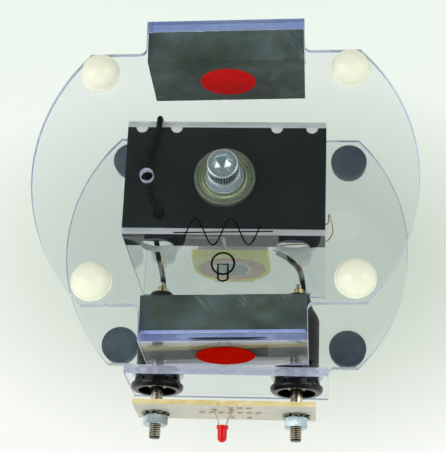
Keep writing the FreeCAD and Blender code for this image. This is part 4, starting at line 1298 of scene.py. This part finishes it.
def make_wire_ends():
    tree, start, end = node_tree("wire_ends", {
        "Layers": "NodeSocketInt", "First Radius": "NodeSocketFloat", "Pitch": "NodeSocketFloat",
        "Length": "NodeSocketFloat", "Wire Radius": "NodeSocketFloat", "Finish": "NodeSocketMaterial"})
    both = index_maths(tree, "MULTIPLY", start.outputs["Layers"], 2)
    points = add_node(tree, "GeometryNodePoints")
    index = add_node(tree, "GeometryNodeInputIndex").outputs[0]
    layer = index_maths(tree, "FLOORED_MODULO", index, start.outputs["Layers"])
    side = index_maths(tree, "FLOOR", index_maths(tree, "DIVIDE", index, start.outputs["Layers"]), 0)
    reach = index_maths(tree, "MULTIPLY", side, start.outputs["Length"])
    chance = add_node(tree, "FunctionNodeRandomValue", data_type="FLOAT")
    chance.inputs["Seed"].default_value = 7
    chance.inputs[2].default_value = -0.12 * MM
    chance.inputs[3].default_value = 0.12 * MM
    shifted = index_maths(tree, "ADD", reach, chance.outputs[1])
    spread = index_maths(tree, "MULTIPLY", layer, start.outputs["Pitch"])
    radius = index_maths(tree, "ADD", spread, start.outputs["First Radius"])
    place = add_node(tree, "ShaderNodeCombineXYZ")
    tilt = add_node(tree, "FunctionNodeRandomValue", data_type="FLOAT_VECTOR")
    tilt.inputs["Seed"].default_value = 11
    tilt.inputs[0].default_value = (math.radians(89.3), -3.0, -math.radians(0.7))
    tilt.inputs[1].default_value = (math.radians(90.7), 3.0, math.radians(0.7))
    circle = add_node(tree, "GeometryNodeCurvePrimitiveCircle")
    circle.inputs["Resolution"].default_value = 96
    circle.inputs["Radius"].default_value = 1.0
    rings = add_node(tree, "GeometryNodeInstanceOnPoints")
    plain = add_node(tree, "GeometryNodeRealizeInstances")
    section = add_node(tree, "GeometryNodeCurvePrimitiveCircle")
    section.inputs["Resolution"].default_value = 8
    wire = add_node(tree, "GeometryNodeCurveToMesh")
    join(tree, both, points.inputs["Count"])
    join(tree, shifted, place.inputs["Y"])
    join(tree, place.outputs[0], points.inputs["Position"])
    join(tree, points.outputs[0], rings.inputs["Points"])
    join(tree, circle.outputs[0], rings.inputs["Instance"])
    join(tree, tilt.outputs[0], rings.inputs["Rotation"])
    join(tree, radius, rings.inputs["Scale"])
    join(tree, rings.outputs[0], plain.inputs[0])
    join(tree, start.outputs["Wire Radius"], section.inputs["Radius"])
    join(tree, plain.outputs[0], wire.inputs["Curve"])
    join(tree, section.outputs[0], wire.inputs["Profile Curve"])
    close_tree(tree, start, end, wire.outputs[0])
    return tree


wire_ends = make_wire_ends()
print("tree", wire_ends.name, "with", len(wire_ends.nodes), "nodes")


# %% Winding and its core
winding_low, winding_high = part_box("coil_winding")
winding_z = (winding_low.z + winding_high.z) / 2
winding_radius = (winding_high.z - winding_low.z) / 2
wire_radius = 0.17 * MM
bore_radius = 6.4 * MM
end_gap = 0.15 * MM
layers = 14


def coil_winding_piece():
    """Rings of wire at both ends, on a plain core a little shorter and thinner."""
    first = bore_radius + wire_radius
    spread = (winding_radius - wire_radius - first) / (layers - 1)
    front = winding_low.y + wire_radius + end_gap
    length = winding_high.y - winding_low.y - 2 * (wire_radius + end_gap)
    values = {"Layers": layers, "First Radius": first, "Pitch": spread, "Length": length,
              "Wire Radius": wire_radius, "Finish": copper_wire}
    empty = bpy.data.meshes.new("winding_start")
    rings = built("winding_ends", wire_ends, empty, values,
                  Matrix.Translation((0, front, winding_z)), 60)
    bm = bmesh.new()
    bm.from_mesh(rings.data)
    inner, outer = first / MM, winding_radius / MM - 0.3
    along_y = Matrix.Translation((0, winding_low.y, winding_z)) @ Matrix.Rotation(-math.pi / 2, 4, "X")
    depth = (winding_high.y - winding_low.y) / MM
    turned(bm, [(inner, 0.4), (outer, 0.4), (outer, depth - 0.4), (inner, depth - 0.4)], along_y, True)
    bpy.data.objects.remove(rings)
    return register(object_from(bm, "wound_coil", [copper_wire], 60), "base", "copper_wire",
                    "coil_winding")


coil_winding_piece()

# %% [markdown]
# ## Plugs with threaded studs
# Each plug is one turned piece: a rounded pin that goes into its socket, a shoulder behind the board,
# and an M4 thread in front of it. A real thread is a spiral. On a ring of points at each height the
# radius rises and falls with the angle too, so the ridge climbs one pitch each turn. Its grooves get
# painted shade. The plugs mirror each other, so one distance serves both once X is read without its sign.

# %% Plug pins
board_low, board_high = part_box("module_board")
pitch = 0.7
thread_root = 1.62
thread_depth = 0.36


def thread_ring(height, root, depth):
    """Radius round one ring of a spiral V thread at a height in millimetres."""
    def radius(angle):
        phase = (height / pitch - angle / (2 * math.pi)) % 1.0
        return root + depth * (1 - abs(2 * phase - 1))
    return radius


def plug_levels(node):
    """Rings from the stud's tip to the pin's nose, as distances along the plug in millimetres."""
    low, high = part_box(node)
    tip, end = low.y / MM, high.y / MM
    board_front, board_back = board_low.y / MM, board_high.y / MM
    levels = [(plain_ring(1.35), tip), (plain_ring(1.6), tip + 0.05)]
    steps = 90
    for step in range(steps + 1):
        height = tip + 0.3 + (board_front - tip - 0.6) * step / steps
        fade = min(1.0, (height - tip) / 0.8)
        levels.append((thread_ring(height, thread_root, thread_depth * fade), height))
    levels += [(plain_ring(1.6), board_front), (plain_ring(1.6), board_back + 0.01),
               (plain_ring(2.8), board_back + 0.02), (plain_ring(3.0), board_back + 0.2),
               (plain_ring(3.0), board_back + 1.0), (plain_ring(2.8), board_back + 1.2),
               (plain_ring(2.0), board_back + 1.22)]
    for step in range(9):
        angle = math.radians(90 * step / 8)
        levels.append((plain_ring(0.8 + 1.2 * math.cos(angle)), end - 1.2 + 1.2 * math.sin(angle)))
    return levels


def plug_piece(name, node):
    low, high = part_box(node)
    centre = (low + high) / 2
    place = Matrix.Translation((centre.x, 0, centre.z)) @ Matrix.Rotation(-math.pi / 2, 4, "X")
    bm = bmesh.new()
    stacked(bm, plug_levels(node), place, 48)
    return register(object_from(bm, name, [nickel_warm], 24), "light_board", "plug_metal", node)


def distance_from_plugs(tree, plug_axis):
    """The distance from the right plug's axis, and from the left one's by reading X without sign."""
    away = distance_from(tree, plug_axis, "Y")
    mapping = away.node.inputs[0].links[0].from_node
    unsigned = add_node(tree, "ShaderNodeVectorMath", operation="ABSOLUTE")
    join(tree, mapping.inputs["Vector"].links[0].from_socket, unsigned.inputs[0])
    join(tree, unsigned.outputs[0], mapping.inputs["Vector"])
    return away


plug_low, plug_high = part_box("plug_pin_right")
plug_middle = (plug_low + plug_high) / 2
plug_away = distance_from_plugs(nickel_warm.node_tree, plug_middle)
# Painted shade in the thread's grooves.
paint_groove_shade(nickel_warm, plug_away, (thread_root + 0.02) * MM, (thread_root + 0.26) * MM)
plug_piece("plug_left", "plug_pin_left")
plug_piece("plug_right", "plug_pin_right")

# %% [markdown]
# ## Indicator board
# The board is pale epoxy glass. Its faces are buff and slightly mottled by the weave, and its sawn
# edges are yellower, so its copy has two finishes. Each wire hole has a thin ring of dull solder, and
# one small Geometry Nodes tree lays a ring on each point, in front of the board and behind it.

# %% Board finishes
def board_face_finish():
    """Buff, with the crossed bands of a glass weave under the resin."""
    material, tree, shader, place = cloudy_finish(
        "board_face", (0.56, 0.53, 0.43), (0.68, 0.64, 0.55), (0.42, 0.6), 300.0, 0.01)
    crossed = add_node(tree, "ShaderNodeMath", operation="MULTIPLY")
    for direction, side in zip("XZ", crossed.inputs):
        wave = add_node(tree, "ShaderNodeTexWave", wave_type="BANDS", bands_direction=direction)
        wave.inputs["Scale"].default_value = 420.0
        wave.inputs["Distortion"].default_value = 1.5
        join(tree, place, wave.inputs["Vector"])
        join(tree, wave.outputs["Fac"], side)
    colour_over(tree, shader, ranged(tree, crossed.outputs[0], 0.2, 1.0, 0.0, 0.35), (0.74, 0.70, 0.62))
    add_dust(tree, shader, place, (0.20, 0.17, 0.10), 800.0, 0.06, 0.06)
    return material


board_face = board_face_finish()
board_edge = cloudy_finish("board_edge", (0.78, 0.62, 0.22), (0.96, 0.84, 0.45), (0.5, 0.7), 700.0, 0.02,
                           (0.3, 1.0, 0.3))[0]
pad_tin = cloudy_finish("pad_tin", (0.20, 0.10, 0.02), (0.42, 0.24, 0.08), (0.3, 0.5), 1400.0, 0.01,
                        Metallic=0.3)[0]
print("made", board_face.name, board_edge.name, pad_tin.name)


# %% Board with sawn edges
def board_piece():
    bm = merged_copy("module_board")
    join_flats(bm)
    for face in bm.faces:
        face.material_index = int(abs(face.normal.y) < 0.5)
    break_corners(bm, 0.08 * MM, material=1)
    return register(object_from(bm, "lamp_board", [board_face, board_edge], 28), "light_board", "board",
                    "module_board")


board_piece()


# %% Pad rings by Geometry Nodes
def make_pad_rings():
    tree, start, end = node_tree("pad_rings", {
        "Radius": "NodeSocketFloat", "Width": "NodeSocketFloat", "Height": "NodeSocketFloat",
        "Finish": "NodeSocketMaterial"})
    ring = add_node(tree, "GeometryNodeCurvePrimitiveCircle")
    ring.inputs["Resolution"].default_value = 24
    section = add_node(tree, "GeometryNodeCurvePrimitiveQuadrilateral")
    sweep = add_node(tree, "GeometryNodeCurveToMesh")
    copies = add_node(tree, "GeometryNodeInstanceOnPoints")
    copies.inputs["Rotation"].default_value = (math.pi / 2, 0, 0)
    join(tree, start.outputs["Radius"], ring.inputs["Radius"])
    join(tree, start.outputs["Width"], section.inputs["Width"])
    join(tree, start.outputs["Height"], section.inputs["Height"])
    join(tree, ring.outputs[0], sweep.inputs["Curve"])
    join(tree, section.outputs[0], sweep.inputs["Profile Curve"])
    join(tree, start.outputs["Geometry"], copies.inputs["Points"])
    join(tree, sweep.outputs[0], copies.inputs["Instance"])
    close_tree(tree, start, end, copies.outputs[0])
    return tree


def solder_pads():
    """A ring round each hole. A row is its height over the plugs and its holes' places in X."""
    rows = ((8.3, (1.9, 4.9, 7.9)), (2.3, (-7.4, -4.3, -1.4, 1.7, 4.8, 7.8, 10.6)), (-4.0, (1.7, 7.6)),
            (5.5, (-3.3, 2.3)))
    points = [(x * MM, y, plug_middle.z + rise * MM) for rise, row in rows for x in row
              for y in (board_low.y, board_high.y)]
    holes = bpy.data.meshes.new("pad_points")
    holes.from_pydata(points, [], [])
    values = {"Radius": 0.78 * MM, "Width": 0.5 * MM, "Height": 0.06 * MM, "Finish": pad_tin}
    rings = built("solder_pads", make_pad_rings(), holes, values, Matrix.Identity(4))
    return register(rings, "light_board", "board")


solder_pads()

# %% [markdown]
# ## Red lamp
# The lamp is a 3 mm light-emitting diode cast in red clear resin, with a rim at its base and a round
# nose. Inside, two small steel posts hold the chip. The resin lets a little light through, so the
# posts show faintly as a heart of another tone.

# %% Lamp lens and the posts in it
lamp_red, lamp_tree, lamp_shader, _ = cloudy_finish(
    "lamp_red", (0.80, 0.002, 0.003), (0.94, 0.006, 0.008), (0.12, 0.22), 300.0, 0.004,
    Transmission_Weight=0.2, IOR=1.5, Specular_IOR_Level=0.25)
let_lamps_through(lamp_tree, lamp_shader, (0.7, 0.05, 0.04))


def lamp_piece():
    low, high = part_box("led_lens")
    centre = (low + high) / 2
    depth = (high.y - low.y) / MM
    place = Matrix.Translation((centre.x, high.y, centre.z)) @ Matrix.Rotation(math.pi / 2, 4, "X")
    nose = 1.5
    outline = [(0, 0), (1.85, 0), (1.9, 0.08), (1.9, 0.9), (1.85, 1.0), (1.55, 1.02), (nose, 1.15)]
    for step in range(13):
        angle = math.radians(90 * step / 12)
        outline.append((nose * math.cos(angle), depth - nose + nose * math.sin(angle)))
    bm = bmesh.new()
    turned(bm, outline[:-1] + [(0, depth)], place, segments=48)
    posts = bmesh.new()
    for side, width in ((-1, 0.42), (1, 0.30)):
        shift = Matrix.Translation((side * 0.55 * MM, 0, 0))
        turned(posts, [(0, 0.3), (width * 0.6, 0.3), (width, 1.6), (width, 2.6), (width * 0.7, 2.75),
                       (0, 2.7)], place @ shift, segments=16)
    register(object_from(posts, "lamp_posts", [tinned_wire], 30), "light_board", "lens_red")
    return register(object_from(bm, "red_lamp", [lamp_red], 30), "light_board", "lens_red", "led_lens")


lamp_piece()

# %% [markdown]
# ## Printed marks
# The rotor sheet is printed in black with a wave line over a base line and the outline of a bulb,
# the usual signs for alternating current and for a lamp. Ink is a thin flat ribbon that follows a
# line, so a helper widens any line of points into one.

# %% Ribbons of ink
ink_black = cloudy_finish("ink_black", (0.001, 0.002, 0.002), (0.003, 0.005, 0.005), (0.35, 0.55), 900.0,
                          0.004, Specular_IOR_Level=0.05)[0]
ink_thickness = 0.01 * MM
line_width = 0.44
bulb_line_width = 0.62
overprint = 0.002 * MM


def add_ribbon(bm, points, level, closed=False, width=line_width):
    """Flat strip along the points, which are in millimetres on the rotor."""
    count = len(points)
    sides = []
    for index, (x, y) in enumerate(points):
        before = points[index - 1] if index or closed else points[index]
        after = points[(index + 1) % count] if index + 1 < count or closed else points[index]
        ahead = Vector((after[0] - before[0], after[1] - before[1])).normalized()
        across = Vector((-ahead.y, ahead.x)) * width / 2
        corners = [(x + across.x, y + across.y), (x - across.x, y - across.y)]
        sides.append([bm.verts.new((a * MM, b * MM, level + high)) for a, b in corners
                      for high in (0, ink_thickness)])
    pairs = list(zip(sides, sides[1:]))
    if closed:
        pairs.append((sides[-1], sides[0]))
    for one, two in pairs:
        for first, second in ((0, 1), (1, 3), (3, 2), (2, 0)):
            bm.faces.new((one[first], one[second], two[second], two[first]))
    if not closed:
        for end in (sides[0], sides[-1]):
            bm.faces.new((end[0], end[1], end[3], end[2]))


def wave_line():
    """A sine of a little more than two periods, over the straight line."""
    spans = 96
    left, length, middle = -12.2, 23.4, -19.3
    height, period, start = 4.25, 10.85, -11.24
    across = [left + length * step / spans for step in range(spans + 1)]
    return [(x, middle + height * math.sin(2 * math.pi * (x - start) / period)) for x in across]


def bulb_lines():
    """Glass circle, and the screw base that reaches into it, with the contact at its end."""
    centre, radius, half, tip = -29.57, 3.4, 1.5, -35.2
    glass = [(radius * math.cos(math.radians(a)), centre + radius * math.sin(math.radians(a)))
             for a in range(0, 360, 6)]
    foot = [(half, centre - 0.2), (-half, centre - 0.2), (-half, tip + 0.8), (-half + 0.5, tip + 0.35),
            (0.0, tip), (half - 0.5, tip + 0.35), (half, tip + 0.8)]
    return glass, foot


def printed_marks():
    """The ink lies on the rotor's top face. Lines that cross lie a hair over each other."""
    level = washer_low.z + 0.004 * MM
    bm = bmesh.new()
    add_ribbon(bm, [(-15.2, -19.42), (15.1, -19.42)], level)
    add_ribbon(bm, wave_line(), level + overprint)
    glass, foot = bulb_lines()
    add_ribbon(bm, glass, level, True, bulb_line_width)
    add_ribbon(bm, foot, level + overprint, True, bulb_line_width)
    bm.transform(on_rotor)
    return register(object_from(bm, "printed_marks", [ink_black], 60), "rotor", "clear_sheet")


printed_marks()

# %% [markdown]
# ## Leads
# The left lead is a soft black wire that leaves its socket's tinned strands, goes in at the foot of
# the frame, up behind the coil, out over the black block and down into its hole. The right one turns
# in by the wall's foot and meets the coil's wire. Each is one smooth line through listed points, in
# millimetres from the rotor's axis, with a round section.

# %% Two leads
lead_radius = 0.9 * MM
left_route = (
    (-23.41, -21.04, 20.74), (-24.0, -20.96, 14.2), (-24.0, -12.56, 13.8), (-26.5, -3.5, 19.0),
    (-27.0, 3.5, 33.0), (-24.8, 8.5, 46.0), (-21.6, 15.06, 56.2), (-21.2, 20.6, 55.8),
    (-21.2, 20.55, 60.0), (-21.2, 20.5, 67.0), (-21.2, 20.55, 71.4), (-21.2, 18.3, 71.6),
    (-21.4, 15.0, 71.2), (-22.6, 11.0, 71.15), (-24.1, 5.0, 71.15), (-24.3, -0.8, 71.15),
    (-23.0, -6.2, 71.15), (-20.0, -11.8, 71.15), (-20.0, -11.8, 66.75))
right_route = (
    (23.41, -21.04, 20.74), (24.0, -20.96, 14.2), (24.0, -12.56, 13.8), (21.5, -6.0, 15.4),
    (14.6, -3.0, 17.0))


def lead_curve(name, route):
    """Smooth line with the route's points as its control points, and a round section."""
    data = bpy.data.curves.new(name, "CURVE")
    data.dimensions = "3D"
    line = data.splines.new("NURBS")
    line.points.add(len(route) - 1)
    for point, (x, y, z) in zip(line.points, route):
        place = on_base @ (Vector((x, y, z)) * MM)
        point.co = (*place, 1.0)
    line.order_u = 3
    line.use_endpoint_u = True
    line.resolution_u = 10
    data.bevel_depth = lead_radius
    data.bevel_resolution = 4
    data.use_fill_caps = True
    data.materials.append(lead_black)
    made = bpy.data.objects.new(name, data)
    bpy.context.scene.collection.objects.link(made)
    return made


left_lead = lead_curve("black_lead_left", left_route)
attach(left_lead, "base")
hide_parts("lead_left")
right_lead = lead_curve("black_lead_right", right_route)
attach(right_lead, "base")
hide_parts("lead_right")
print("leads:", left_lead.name, right_lead.name)
